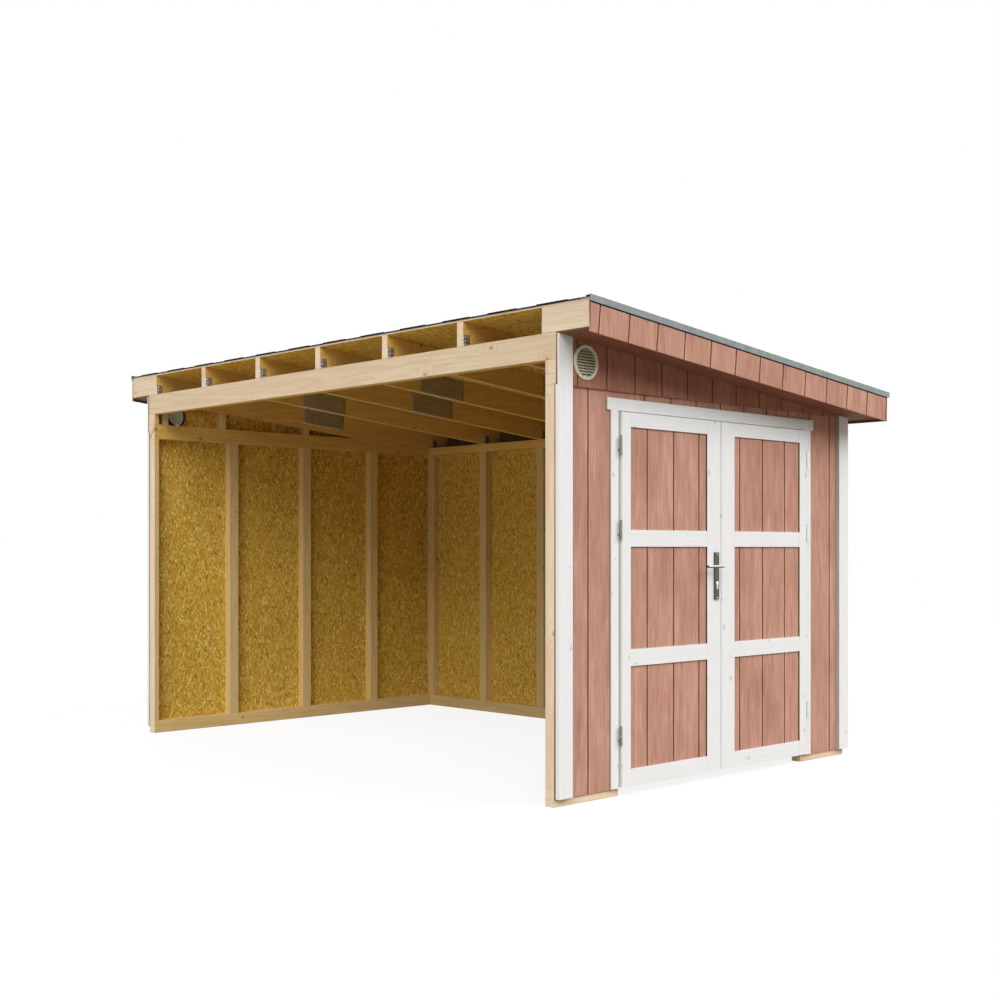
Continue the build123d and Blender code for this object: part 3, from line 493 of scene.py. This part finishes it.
for name, axis in ALONG.items():
    wood = stud_spruce_shade if name.endswith("_studs") else warm_spruce_shade
    paint(name, lambda normal, middle, axis=axis, wood=wood: (pale if open_side_face(normal, middle) else wood)[axis])
    ease(name, ARRIS)
paint("open_side_beam", lambda normal, middle: beam_spruce_shade if open_side_face(normal, middle) else warm_spruce_shade[1])

side_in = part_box("side_studs")[0].x
side_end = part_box("side_studs")[1].y + 2 * MM


def along_wall(middle):
    """The side wall's timbers run along Y, and those of the end walls along X."""
    return 1 if middle.x > side_in - MM and abs(middle.y) < side_end else 0


def plate_finish(normal, middle):
    """Plates are pale outside, and inside they have the studs' darker copy, which is painted shade."""
    axis = along_wall(middle)
    inward = -normal.x if axis == 1 else -normal.y * math.copysign(1, middle.y)
    return (stud_spruce_shade if max(inward, normal.z) > LEANING else pale)[axis]


for name in ("ground_sills", "bottom_plates"):
    paint(name, plate_finish)
    ease(name, ARRIS)
paint("wall_top_plates", lambda normal, middle: (pale if open_side_face(normal, middle) else warm_spruce_shade)[along_wall(middle)])
ease("wall_top_plates", ARRIS)
print("timber nodes dressed:", len(ALONG) + 3)

# %% Siding, deck and soffits
GROOVE_FLOOR, GROOVE_SIDE = 2 * MM, 5 * MM  # how deep a groove's floor lies at least, and its sides at most


def dress_sheet(name, axis, back, under=None, stain=siding):
    """A sheet that faces away from the middle of the shed along one axis."""
    low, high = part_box(name)
    face = max(abs(low[axis]), abs(high[axis]))

    def pick(normal, middle):
        outward = normal[axis] * math.copysign(1, middle[axis])
        depth = face - abs(middle[axis])
        if outward < -LEANING:
            return back
        # Groove floors and groove sides get the darker groove finish: stain that collects there, and painted
        # shade
        if outward > LEANING:
            return groove_stain_and_shade if depth > GROOVE_FLOOR else stain
        if normal.z < -FACING and under:
            return under
        across = abs(normal.z) < FACING and depth < GROOVE_SIDE
        return groove_stain_and_shade if across else stain
    paint(name, pick)


for name in ("front_cladding_left", "front_cladding_right", "back_cladding", "left_door_panels",
             "right_door_panels"):
    dress_sheet(name, 1, strands_y)
# Gable sheets get the siding stain darkened by painted shade
for name in ("front_gable_cladding", "back_gable_cladding"):
    dress_sheet(name, 1, strands_y, stain=gable_siding_and_shade)
dress_sheet("front_cladding_over_door", 1, strands_y, primed_x)
dress_sheet("side_cladding", 0, strands_x)
# Fascia backs get the dark painted shade
dress_sheet("verge_fascias", 1, board_back_shade)
dress_sheet("eave_fascia", 0, board_back_shade)
paint("roof_deck", lambda normal, middle: strands_z if abs(normal.z) > LEANING else pale[1])
# Soffit undersides get the stain darkened by painted shade
for name in ("verge_soffits", "eave_soffit"):
    paint(name, lambda normal, middle: soffit_stain_and_shade if normal.z < -LEANING else board_back_shade)
print("sheets dressed")

# %% White boards, metal and plastic
def away(normal, middle):
    """How far a face looks away from the middle of its wall, to the left or the right."""
    return normal.x * math.copysign(1, middle.x)


# The edges chosen here get the grey copy of the primer as painted shade
for name in ("front_corner_boards", "back_corner_boards"):
    paint(name, lambda normal, middle: board_edge_shade if away(normal, middle) < -FACING else primed_z)
    ease(name, ARRIS)
# The edges chosen here get the grey copy of the primer as painted shade
paint("door_jambs", lambda normal, middle: board_edge_shade if away(normal, middle) > FACING else primed_z)
ease("door_jambs", ARRIS)
paint("door_head", lambda normal, middle: board_edge_shade if abs(normal.x) > FACING else primed_x)
ease("door_head", ARRIS)
for leaf in ("left_door", "right_door"):
    low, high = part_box(leaf + "_panels")

    def stile_finish(normal, middle, low=low, high=high):
        """Edges that face a panel get dark painted shade, and the other upright edges the grey painted shade of
        a leaf edge.
        """
        if abs(normal.x) < FACING:
            return primed_z
        return crease_shade if low.x - MM < middle.x < high.x + MM else leaf_edge_shade

    def rail_finish(normal, middle, low=low):
        """The underside over a panel gets dark painted shade."""
        return crease_shade if normal.z < -FACING and middle.z > low.z else primed_x

    paint(leaf + "_stiles", stile_finish)
    paint(leaf + "_rails", rail_finish)
    ease(leaf + "_stiles", LEAF_ARRIS)
    ease(leaf + "_rails", LEAF_ARRIS)
# Left hinges get the dark zinc as painted shade, and right hinges the bright zinc as painted light
PLAIN = {
    "splice_plates": galvanised, "rafter_brackets": galvanised, "lock_plates": lock_steel,
    "verge_trims": trim_paint, "eave_trim": trim_paint,
    "left_door_hinges": shaded_hinge_zinc, "right_door_hinges": lit_hinge_zinc,
}
for name, finish in PLAIN.items():
    paint(name, lambda normal, middle, finish=finish: finish)
# Painted highlight: upward faces of the lever get bright nickel, and the rest the darker steel
paint("lever_handle", lambda normal, middle: nickel_and_lever_highlight if normal.z > 0.1 else lock_steel)
# Painted light: frame hinge parts on the left get the dark zinc, and those on the right the bright zinc
paint("frame_hinges", lambda normal, middle: shaded_hinge_zinc if middle.x < 0 else lit_hinge_zinc)
paint("door_lintel", lambda normal, middle: primed_x if normal.y < -FACING else warm_spruce_shade[0])
print("boards and fittings dressed")

# %% [markdown]
# ## New pieces
# A new piece is drawn as faces, turned into a mesh, given its finish, and told which body it moves with. The
# CAD node that it stands for, if any, is hidden.

# %% Helpers that draw a bar and finish a piece
SMOOTH_LIMIT = math.radians(32)  # edges that turn more stay sharp


def bar(bm, near, far):
    """Draws a closed bar between two outlines, and gives its two caps and its sides."""
    near, far = [[bm.verts.new(point) for point in outline] for outline in (near, far)]
    caps = [bm.faces.new(near), bm.faces.new(far[::-1])]
    sides = []
    for k in range(len(near)):
        j = (k + 1) % len(near)
        sides.append(bm.faces.new((near[j], near[k], far[k], far[j])))
    return caps, sides


def settle(name, bm, finish, body, replaced=None, closed=True):
    """Turns drawn faces into a piece that rides a body."""
    if closed:
        bmesh.ops.recalc_face_normals(bm, faces=bm.faces[:])
    mesh = bpy.data.meshes.new(name)
    bm.to_mesh(mesh)
    bm.free()
    mesh.materials.append(finish)
    for face in mesh.polygons:
        face.use_smooth = True
    mesh.set_sharp_from_angle(angle=SMOOTH_LIMIT)
    piece = bpy.data.objects.new(name, mesh)
    bpy.context.scene.collection.objects.link(piece)
    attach(piece, body)
    if replaced:
        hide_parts(replaced)
    print(name, "has", len(mesh.polygons), "faces and rides", body)
    return piece


# %% [markdown]
# ## Shingles
# The roof has rectangular bitumen tabs. Each course lies on the one below, and its tabs are set half a tab
# aside, so the slots never line up. A tab is a thin wedge: thick at its lower edge, where it shows, and thin
# where the next course covers it. Along the high edge a starter strip shows as steps, and along the verges a
# strip is turned up against the metal trim. One mesh holds them all, with a tone for each tab.

# %% The roof's surface
PITCH = math.radians(5.5)
PLUMB = 1 / math.cos(PITCH)
SHINGLE = 9 * MM
TURN_UP = 14 * MM
shingle_low, shingle_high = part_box("roof_shingles")
ROOF_TOP = shingle_high.z - TURN_UP * PLUMB  # top of the deck at the high edge


def on_roof(x, y, lift):
    """A point over the deck, at a lift measured square to it."""
    return Vector((x, y, ROOF_TOP - (x - shingle_low.x) * math.tan(PITCH) + lift * PLUMB))


def wedge(bm, x, y, butt, head, base):
    """A closed slab on the roof between two x and two y limits, as thick as butt at its low end."""
    lifts = [(x[1], base), (x[1], butt), (x[0], head), (x[0], base)]
    caps, sides = bar(bm, *[[on_roof(px, py, lift) for px, lift in lifts] for py in y])
    return caps + sides


print("deck top at the high edge", round(ROOF_TOP, 4))

# %% Shingle tabs
TAB_WIDTH = 333 * MM
EXPOSURE = 143 * MM
SLOT = 7 * MM
BED = 5.6 * MM
STEP_WIDTH, STEP_PITCH, STEP_DEPTH, STEP_FIRST = 200 * MM, 337 * MM, 70 * MM, 146 * MM
STRIP_WIDTH, STRIP_LENGTH = 24 * MM, 1000 * MM
BED_BASE, TAB_BASE, STRIP_BASE = 0.2 * MM, 4.4 * MM, 2.2 * MM  # undersides, over the deck
TAB_BUTT, TAB_HEAD = SHINGLE - 0.3 * MM, BED + 0.4 * MM
STEP_HEAD = SHINGLE - 0.1 * MM
STRIP_BUTT, STRIP_HEAD = TURN_UP - 0.2 * MM, TURN_UP - 1.6 * MM
HEAD_LAP = 12 * MM  # how far a tab goes under the next course
BED_TONE, EDGE_TONE = 0.7, 0.8
INSET = 1 * MM
left, right = shingle_low.y + INSET, shingle_high.y - INSET
high_edge, low_edge = shingle_low.x + INSET, shingle_high.x - INSET


def tone_of(row, column):
    """A fixed tone for each tab, spread evenly over the range."""
    return 0.72 + 0.56 * ((row * 0.618 + column * 0.754 + row * column * 0.137) % 1)


bm = bmesh.new()
tones = bm.faces.layers.float.new("tab_tone")
for face in wedge(bm, (high_edge, low_edge), (left, right), BED, BED, BED_BASE):
    face[tones] = BED_TONE
field = (left + STRIP_WIDTH, right - STRIP_WIDTH)
courses = int((low_edge - high_edge) / EXPOSURE) + 1
for row in range(courses):
    butt_x = low_edge - row * EXPOSURE
    head_x = max(butt_x - EXPOSURE - HEAD_LAP, high_edge + 2 * INSET)
    column, start = 0, field[0] - (TAB_WIDTH / 2 if row % 2 else 0)
    while start < field[1]:
        span = (max(start + SLOT / 2, field[0]), min(start + TAB_WIDTH - SLOT / 2, field[1]))
        if span[1] - span[0] > SLOT:
            for face in wedge(bm, (head_x, butt_x), span, TAB_BUTT, TAB_HEAD, TAB_BASE):
                face[tones] = tone_of(row, column)
        start, column = start + TAB_WIDTH, column + 1

start = left + STEP_FIRST
while start < field[1]:
    span = (start, min(start + STEP_WIDTH, field[1]))
    for face in wedge(bm, (high_edge, high_edge + STEP_DEPTH), span, SHINGLE, STEP_HEAD, TAB_BASE):
        face[tones] = EDGE_TONE
    start += STEP_PITCH

start = high_edge
while start < low_edge:
    run = (start, min(start + STRIP_LENGTH, low_edge))
    for span in ((left, left + STRIP_WIDTH), (right - STRIP_WIDTH, right)):
        for face in wedge(bm, run, span, STRIP_BUTT, STRIP_HEAD, STRIP_BASE):
            face[tones] = EDGE_TONE
    start += STRIP_LENGTH
settle("shingle_tabs", bm, bitumen, "shed", "roof_shingles")
print(courses, "courses of tabs")

# %% Underlay that shows as a dark line below the verge trims, partly real underlay and partly painted shadow of the trims
UNDERLAY = 1.5 * MM
SHOWS, TUCKED = 6 * MM, 2 * MM  # how far it goes below the trim and behind it
trim_low, trim_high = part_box("verge_trims")
fascia_low, fascia_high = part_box("verge_fascias")
bm = bmesh.new()
tones = bm.faces.layers.float.new("tab_tone")
for face_y, out in ((fascia_low.y, -1), (fascia_high.y, 1)):
    ends = []
    for x in (fascia_low.x + INSET, fascia_high.x - INSET):
        edge = trim_low.z + (trim_high.x - x) * math.tan(PITCH)
        ring = [(0, -SHOWS), (UNDERLAY, -SHOWS), (UNDERLAY, TUCKED), (0, TUCKED)]
        ends.append([(x, face_y + out * depth, edge + lift) for depth, lift in ring])
    bar(bm, *ends)
for face in bm.faces:
    face[tones] = EDGE_TONE
settle("verge_underlay_and_shadow", bm, bitumen, "shed")

# %% [markdown]
# ## Punched steel
# Two kinds of sheet steel join the rafters. Nail plates are punched all over, and the tongues that the punch
# leaves are the nails. Angle brackets have round holes and a nail in some of them. Both are flat grids of
# cells with a hole in each. A solidify modifier then gives them the thickness of the CAD plates.

# %% Punched sheets
CORNERS = [(1, 1), (-1, 1), (-1, -1), (1, -1)]
EIGHTHS = [(1, 0), (1, 1), (0, 1), (-1, 1), (-1, 0), (-1, -1), (0, -1), (1, -1)]
ROUND = [(math.cos(k * math.pi / 4), math.sin(k * math.pi / 4)) for k in range(8)]


def punch(bm, corner, along, across, cells, hole, edge, rim):
    """A sheet from a corner along two vectors, with a hole of two half sizes in each cell."""
    way_u, way_v = along.normalized(), across.normalized()
    half_u, half_v = along / (2 * cells[0]), across / (2 * cells[1])
    for i in range(cells[0]):
        for j in range(cells[1]):
            middle = corner + half_u * (2 * i + 1) + half_v * (2 * j + 1)
            outer = [bm.verts.new(middle + half_u * u + half_v * v) for u, v in edge]
            inner = [bm.verts.new(middle + way_u * u * hole[0] + way_v * v * hole[1]) for u, v in rim]
            for k in range(len(edge)):
                j2 = (k + 1) % len(edge)
                bm.faces.new((outer[k], outer[j2], inner[j2], inner[k]))


def thicken(piece, metal):
    """Gives a sheet its thickness, on the side away from its faces."""
    solid = piece.modifiers.new("sheet_metal", "SOLIDIFY")
    solid.thickness = metal
    solid.offset = -1
    solid.use_even_offset = True
    solid.material_offset_rim = 1
    piece.data.materials.append(cut_edge)


RAFTER_HALF = 22.5 * MM
SHEET = 2 * MM
PUNCH_WELD = 0.01 * MM
RAFTER_PLACES = [-1.8 + 0.6 * k for k in range(7)]
RAFTER_FOOT = Vector((1.113, 0, 2.003))  # where the underside of the rafters meets the side wall


def rafter_base(x):
    """Height of the underside of the rafters."""
    return RAFTER_FOOT.z + (RAFTER_FOOT.x - x) * math.tan(PITCH)


print("underside of the rafters at the open side", round(rafter_base(OPEN_FACE), 4))

# %% Nail plates
PLATE_LENGTH, PLATE_HEIGHT = 354 * MM, 124 * MM
PLATE_START, PLATE_STAGGER = 744 * MM, 446 * MM
PLATE_CELLS, PLATE_HOLE = (16, 14), (6 * MM, 1.5 * MM)  # cells along and across, and half sizes of a hole
bm = bmesh.new()
for k, y in enumerate(RAFTER_PLACES):
    start = OPEN_FACE + PLATE_START + (PLATE_STAGGER if k % 2 == 0 else 0)
    end = start + PLATE_LENGTH
    up = Vector((0, 0, PLATE_HEIGHT))
    run = Vector((PLATE_LENGTH, 0, rafter_base(end) - rafter_base(start)))
    face = RAFTER_HALF + SHEET
    near, far = Vector((start, y - face, rafter_base(start))), Vector((end, y + face, rafter_base(end)))
    punch(bm, near, run, up, PLATE_CELLS, PLATE_HOLE, CORNERS, CORNERS)
    punch(bm, far, -run, up, PLATE_CELLS, PLATE_HOLE, CORNERS, CORNERS)
bmesh.ops.remove_doubles(bm, verts=bm.verts[:], dist=PUNCH_WELD)
nail_plates = settle("nail_plates", bm, galvanised, "shed", "splice_plates", closed=False)
thicken(nail_plates, SHEET)

# %% Angle brackets
ANGLE_WIDTH, ANGLE_HEIGHT, ANGLE_FOOT = 46 * MM, 58 * MM, 40 * MM
ANGLE_HOLE = (4.6 * MM, 4.6 * MM)
LEG_CELLS, FOOT_CELLS = (2, 3), (2, 2)
bm = bmesh.new()
angle_nails = []
for k, y in enumerate(RAFTER_PLACES):
    side = 1 if k == 0 else -1
    for x, top in ((OPEN_FACE, rafter_base(OPEN_FACE)), (RAFTER_FOOT.x, RAFTER_FOOT.z)):
        fold = Vector((x, y + side * (RAFTER_HALF + SHEET), top + SHEET))
        width = Vector((ANGLE_WIDTH, 0, 0))
        leg = Vector((0, 0, ANGLE_HEIGHT - SHEET))
        foot = Vector((0, side * (ANGLE_FOOT - SHEET), 0))
        if side < 0:
            punch(bm, fold, width, leg, LEG_CELLS, ANGLE_HOLE, EIGHTHS, ROUND)
            punch(bm, fold + foot, width, -foot, FOOT_CELLS, ANGLE_HOLE, EIGHTHS, ROUND)
        else:
            punch(bm, fold + width, -width, leg, LEG_CELLS, ANGLE_HOLE, EIGHTHS, ROUND)
            punch(bm, fold, width, foot, FOOT_CELLS, ANGLE_HOLE, EIGHTHS, ROUND)
        for u, v in ((0.25, 1 / 6), (0.75, 0.5), (0.25, 5 / 6)):
            angle_nails.append((fold + width * u + leg * v, Vector((0, side, 0))))
        angle_nails.append((fold + width * 0.75 + foot * 0.75, Vector((0, 0, 1))))
bmesh.ops.remove_doubles(bm, verts=bm.verts[:], dist=PUNCH_WELD)
angles = settle("angle_brackets", bm, galvanised, "shed", "rafter_brackets", closed=False)
thicken(angles, SHEET)

# %% [markdown]
# ## Turned fittings
# Nails, screws, washers and sleeves are all turned shapes: an outline of radius against height, spun round
# an axis. One helper draws them all, so each fitting is only its outline and its places.

# %% A helper that turns an outline
def turn(bm, middle, axis, outline, sides=16, closed=False):
    """Spins (radius, height) pairs round an axis. A closed outline joins its ends, as a ring's does."""
    spin = axis.to_track_quat("Z", "Y").to_matrix()
    rows = []
    for radius, height in outline:
        count = sides if radius else 1
        angles = [2 * math.pi * k / sides for k in range(count)]
        rows.append([bm.verts.new(middle + spin @ Vector((radius * math.cos(a), radius * math.sin(a), height)))
                     for a in angles])
    following = rows[1:] + rows[:1] if closed else rows[1:]
    for near, far in zip(rows, following):
        for k in range(sides):
            ring = [near[k % len(near)], near[(k + 1) % len(near)], far[(k + 1) % len(far)], far[k % len(far)]]
            bm.faces.new(list(dict.fromkeys(ring)))


def millimetres(*pairs):
    """An outline in metres from pairs in millimetres."""
    return [(radius * MM, height * MM) for radius, height in pairs]


PAN_HEAD = millimetres((0, -0.3), (4.2, -0.3), (4.2, 0.4), (3.2, 1.3), (1.7, 1.6), (1.5, 0.8), (0, 0.8))
NAIL_HEAD = millimetres((0, -1.9), (4.4, -1.9), (4.4, 0.3), (3.0, 1.0), (0, 1.3))
print("outlines of", len(PAN_HEAD), "and", len(NAIL_HEAD), "points")

# %% Nails in the brackets
bm = bmesh.new()
for middle, axis in angle_nails:
    turn(bm, middle, axis, NAIL_HEAD, sides=10)
settle("bracket_nails", bm, screw_zinc, "shed")

# %% [markdown]
# ## Door fittings
# Each barrel hinge has a brass washer between its halves and a domed cap at both ends. The washer and the
# lower cap stay with the frame, and the upper cap swings with the leaf. The lock set has a screw at the top
# and bottom of each plate, and the end of the key cylinder fills the hole below the lever.

# %% Hinge washers and caps
HINGE_X = {"left_door": -860.1 * MM, "right_door": 754.1 * MM}
HINGE_Y = -1894 * MM
HINGE_HEIGHTS = [300 * MM, 1310 * MM, 1724 * MM]
HINGE_HALF = 45 * MM
WASHER = millimetres((6.2, -1.6), (7.2, -1.6), (7.6, -0.9), (7.2, -0.2), (6.2, -0.2))
CAP = millimetres((0, -0.2), (6.5, -0.2), (6.3, 1.0), (5.0, 2.2), (2.6, 2.9), (0, 3.1))
UP, DOWN = Vector((0, 0, 1)), Vector((0, 0, -1))
washers, lower_caps = bmesh.new(), bmesh.new()
for leaf, x in HINGE_X.items():
    upper_caps = bmesh.new()
    for z in HINGE_HEIGHTS:
        turn(washers, Vector((x, HINGE_Y, z)), UP, WASHER, closed=True)
        turn(lower_caps, Vector((x, HINGE_Y, z - HINGE_HALF)), DOWN, CAP)
        turn(upper_caps, Vector((x, HINGE_Y, z + HINGE_HALF)), UP, CAP)
    # Painted light: left caps get the dark zinc and right caps the bright zinc
    settle(leaf + "_hinge_caps", upper_caps, shaded_hinge_zinc if x < 0 else lit_hinge_zinc, leaf)
settle("hinge_washers", washers, washer_brass, "shed")
frame_caps = settle("frame_hinge_caps", lower_caps, shaded_hinge_zinc, "shed")
frame_caps.data.materials.append(lit_hinge_zinc)
# Painted light: lower caps on the left get the dark zinc, and those on the right the bright zinc
for face in frame_caps.data.polygons:
    face.material_index = 1 if face.center.x > 0 else 0

# %% Lock screws
FRONT, BACK = Vector((0, -1, 0)), Vector((0, 1, 0))
LOCK_X = -99 * MM
LOCK_SCREW_INSET = 9 * MM
LOCK_SCREW = millimetres((0, -0.3), (3.0, -0.3), (2.9, 0.4), (2.2, 0.9), (1.2, 1.1), (1.0, 0.5), (0, 0.5))
plate_low, plate_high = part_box("lock_plates")
bm = bmesh.new()
for z in (plate_low.z + LOCK_SCREW_INSET, plate_high.z - LOCK_SCREW_INSET):
    turn(bm, Vector((LOCK_X, plate_low.y, z)), FRONT, LOCK_SCREW)
    turn(bm, Vector((LOCK_X, plate_high.y, z)), BACK, LOCK_SCREW)
settle("lock_screws", bm, nickel_and_lever_highlight, "left_door")

# %% Key cylinder
KEY_HEIGHT = 1036.5 * MM
KEY_RADIUS, KEY_WEB, KEY_DROP = 9.6 * MM, 5.4 * MM, 26.5 * MM
KEY_PROUD = 0.4 * MM
LEAF_FRONT, LEAF_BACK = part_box("left_door_stiles")[0].y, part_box("left_door_stiles")[1].y
bm = bmesh.new()
web_angle = math.asin(KEY_WEB / KEY_RADIUS)
arc = [-math.pi / 2 + web_angle + (2 * math.pi - 2 * web_angle) * k / 20 for k in range(21)]
shape = [(KEY_RADIUS * math.cos(a), KEY_RADIUS * math.sin(a)) for a in arc]
foot_arc = [math.pi * k / 8 for k in range(9)]
shape += [(-KEY_WEB * math.cos(a), -KEY_DROP - KEY_WEB * math.sin(a)) for a in foot_arc]
PLUG = millimetres((0, 0), (6.2, 0), (6.2, 0.5), (5.6, 0.9), (1.6, 0.9), (1.6, 0.2), (0, 0.2))
KEY_ENDS = ((plate_low.y - KEY_PROUD, LEAF_FRONT, FRONT), (plate_high.y + KEY_PROUD, LEAF_BACK, BACK))
for face, inside, axis in KEY_ENDS:
    bar(bm, *[[(LOCK_X + u, y, KEY_HEIGHT + v) for u, v in shape] for y in (face, inside)])
    turn(bm, Vector((LOCK_X, face, KEY_HEIGHT)), axis, PLUG, sides=24)
settle("key_cylinder", bm, nickel_and_lever_highlight, "left_door")

# %% [markdown]
# ## Vents
# Each vent is a moulded ring with ten louvres and an upright rib, held by two screws through its flange. The
# lips of the louvres are pale, and the recess behind them and the front of the rib carry painted shade, so the
# vent reads as pale and dark lines. Behind it a sleeve takes the air through the wall. It is painted black as
# painted shade, so from inside it shows as a dark ring.

# %% Louvred vents
VENT_X, VENT_Z = -1100 * MM, 2107 * MM
GABLE_FACE = 1880 * MM
FLANGE = 8 * MM
OPENING = 69 * MM
VENT_RING = millimetres((69, -11), (72, -11), (72, 0), (85, 0), (85, 5), (82, 8), (70.5, 8), (69, 6.5))
LOUVRES, LOUVRE_PITCH = 10, 13.7 * MM
LOUVRE = [(8, -2.3), (8, 0), (2.4, 4.9), (-5, 11.3), (-5, 9), (2.4, 2.6)]  # outwards and up, in millimetres
LOUVRE_DROP = 4 * MM  # the middle of a louvre lies below its pitch line
LOUVRE_BITE = 1 * MM  # its ends go into the ring
LOUVRE_REACH = (-2 * MM, 7 * MM)  # how low and how high its ends meet the ring
LOUVRE_UNSHADED = (0, 1, 3, 4, 5)  # all sides but the upper face behind the lip
RIB = [(7.6, 2.5), (7.6, -2.5), (0, -2.5), (0, 2.5)]  # outwards and across, in millimetres
RIB_UNSHADED = (2,)
bm = bmesh.new()


def vent_bar(near, far, unshaded):
    """A bar of the vent. Its caps and sides carry painted shade, apart from the unshaded sides."""
    caps, sides = bar(bm, near, far)
    for face in caps + [side for k, side in enumerate(sides) if k not in unshaded]:
        face.material_index = 1


for out in (-1, 1):
    turn(bm, Vector((VENT_X, out * GABLE_FACE, VENT_Z)), Vector((0, out, 0)), VENT_RING, sides=64, closed=True)
    for k in range(LOUVRES):
        lift = LOUVRE_PITCH * (k - (LOUVRES - 1) / 2) - LOUVRE_DROP
        off_middle = max(abs(lift + reach) for reach in LOUVRE_REACH)
        half_width = math.sqrt((OPENING + LOUVRE_BITE) ** 2 - off_middle ** 2)
        vent_bar(*[[(VENT_X + side, out * (GABLE_FACE + u * MM), VENT_Z + lift + v * MM) for u, v in LOUVRE]
                   for side in (-half_width, half_width)], LOUVRE_UNSHADED)
    vent_bar(*[[(VENT_X + v * MM, out * (GABLE_FACE + u * MM), VENT_Z + side) for u, v in RIB]
               for side in (-OPENING, OPENING)], RIB_UNSHADED)
vents = settle("louvred_vents", bm, vent_plastic, "shed", "gable_vents")
# The second finish is painted shade in the louvre recesses and on the rib's front
vents.data.materials.append(vent_shade)

# %% Vent screws and sleeves
# The sleeves are black as painted shade, so they read as a dark ring from inside
SLEEVE = millimetres((62.5, 9), (68.5, 9), (68.5, 11), (65, 11.5), (65, 36), (62.5, 36))
VENT_SCREW_REACH = 77 * MM
screws, sleeves = bmesh.new(), bmesh.new()
for axis in (FRONT, BACK):
    for lift in (-VENT_SCREW_REACH, VENT_SCREW_REACH):
        turn(screws, Vector((VENT_X, 0, VENT_Z + lift)) + axis * (GABLE_FACE + FLANGE), axis, PAN_HEAD)
    turn(sleeves, Vector((VENT_X, 0, VENT_Z)) + axis * GABLE_FACE, -axis, SLEEVE, sides=48, closed=True)
settle("vent_screws", screws, screw_zinc, "shed")
settle("vent_sleeves", sleeves, sleeve_black_and_shade, "shed")

# %% [markdown]
# ## Light and ground
# The picture has soft studio light. A large lamp from the front right and above puts the shade of the verge on
# the gable. Another from the front left reaches through the open side, and its light fades along the back
# wall. A broad, weak panel off the open side fills the rest, and a weak lamp from behind keeps the back
# readable. The ground is pale to the camera and reflects less light than it seems to, so soffits stay dark.

# %% Lamps
def lamp(name, kind, towards, energy, **settings):
    """A lamp that shines from a direction."""
    data = bpy.data.lights.new(name, kind)
    data.energy = energy
    for setting, value in settings.items():
        setattr(data, setting, value)
    made = bpy.data.objects.new(name, data)
    made.rotation_euler = Vector(towards).to_track_quat("Z", "Y").to_euler()
    bpy.context.scene.collection.objects.link(made)
    return made


lamp("key_lamp", "SUN", (0.45, -0.75, 0.62), 1.60, angle=math.radians(40))
lamp("fill_lamp", "SUN", (-0.60, -0.50, 0.62), 2.45, angle=math.radians(45))
lamp("back_lamp", "SUN", (0.25, 0.85, 0.45), 1.2, angle=math.radians(40))
panel = lamp("open_side_panel", "AREA", (-1, 0, 0.1), 46, shape="RECTANGLE", size=7.6, size_y=3.0)
panel.location = (-4.6, 0.5, 1.6)
panel.visible_camera = False


def eye_rays(tree):
    """1 for what the camera sees, also in metal or through glass, and 0 for light that falls on things."""
    path = add(tree, "ShaderNodeLightPath").outputs
    mirrored = add(tree, "ShaderNodeMath", {0: path["Is Camera Ray"], 1: path["Is Glossy Ray"]},
                   operation="MAXIMUM")
    return add(tree, "ShaderNodeMath", {0: mirrored.outputs[0], 1: path["Is Transmission Ray"]},
               operation="MAXIMUM").outputs[0]


STUDIO_LIGHT = 0.13  # the share of the white background that lights the shed
world = bpy.data.worlds.new("studio")
bpy.context.scene.world = world
world.use_nodes = True
tree = world.node_tree
strength = add(tree, "ShaderNodeMapRange", {0: eye_rays(tree), 3: STUDIO_LIGHT, 4: 1.0})
background = tree.nodes["Background"]
background.inputs["Color"].default_value = (1, 1, 1, 1)
tree.links.new(strength.outputs[0], background.inputs["Strength"])
bpy.context.scene.view_settings.view_transform = "Standard"
print("studio light", STUDIO_LIGHT)

# %% Ground
GROUND = 30.0
GROUND_DROP = 1 * MM  # keeps the floor clear of the sills
FLOOR_GLOW, FLOOR_SHADE = 0.86, 0.16  # the floor's own white, and its share of the lamps' light and shadow
mesh = bpy.data.meshes.new("studio_floor")
half = GROUND / 2
mesh.from_pydata([(-half, -half, 0), (half, -half, 0), (half, half, 0), (-half, half, 0)], [], [(0, 1, 2, 3)])
floor = bpy.data.objects.new("studio_floor", mesh)
floor.location.z = -GROUND_DROP
bpy.context.scene.collection.objects.link(floor)
material = bpy.data.materials.new("pale_studio_floor")
material.use_nodes = True
tree = material.node_tree
tree.nodes.clear()
dull = add(tree, "ShaderNodeBsdfDiffuse", {"Color": linear("#a69b87")})
catcher = add(tree, "ShaderNodeBsdfDiffuse", {"Color": (FLOOR_SHADE, FLOOR_SHADE, FLOOR_SHADE, 1)})
glow = add(tree, "ShaderNodeEmission", {"Color": (1, 1, 1, 1), "Strength": FLOOR_GLOW})
bright = add(tree, "ShaderNodeAddShader", {0: catcher.outputs[0], 1: glow.outputs[0]})
both = add(tree, "ShaderNodeMixShader", {0: eye_rays(tree), 1: dull.outputs[0], 2: bright.outputs[0]})
add(tree, "ShaderNodeOutputMaterial", {"Surface": both.outputs[0]})
mesh.materials.append(material)
print("floor", GROUND, "m square")
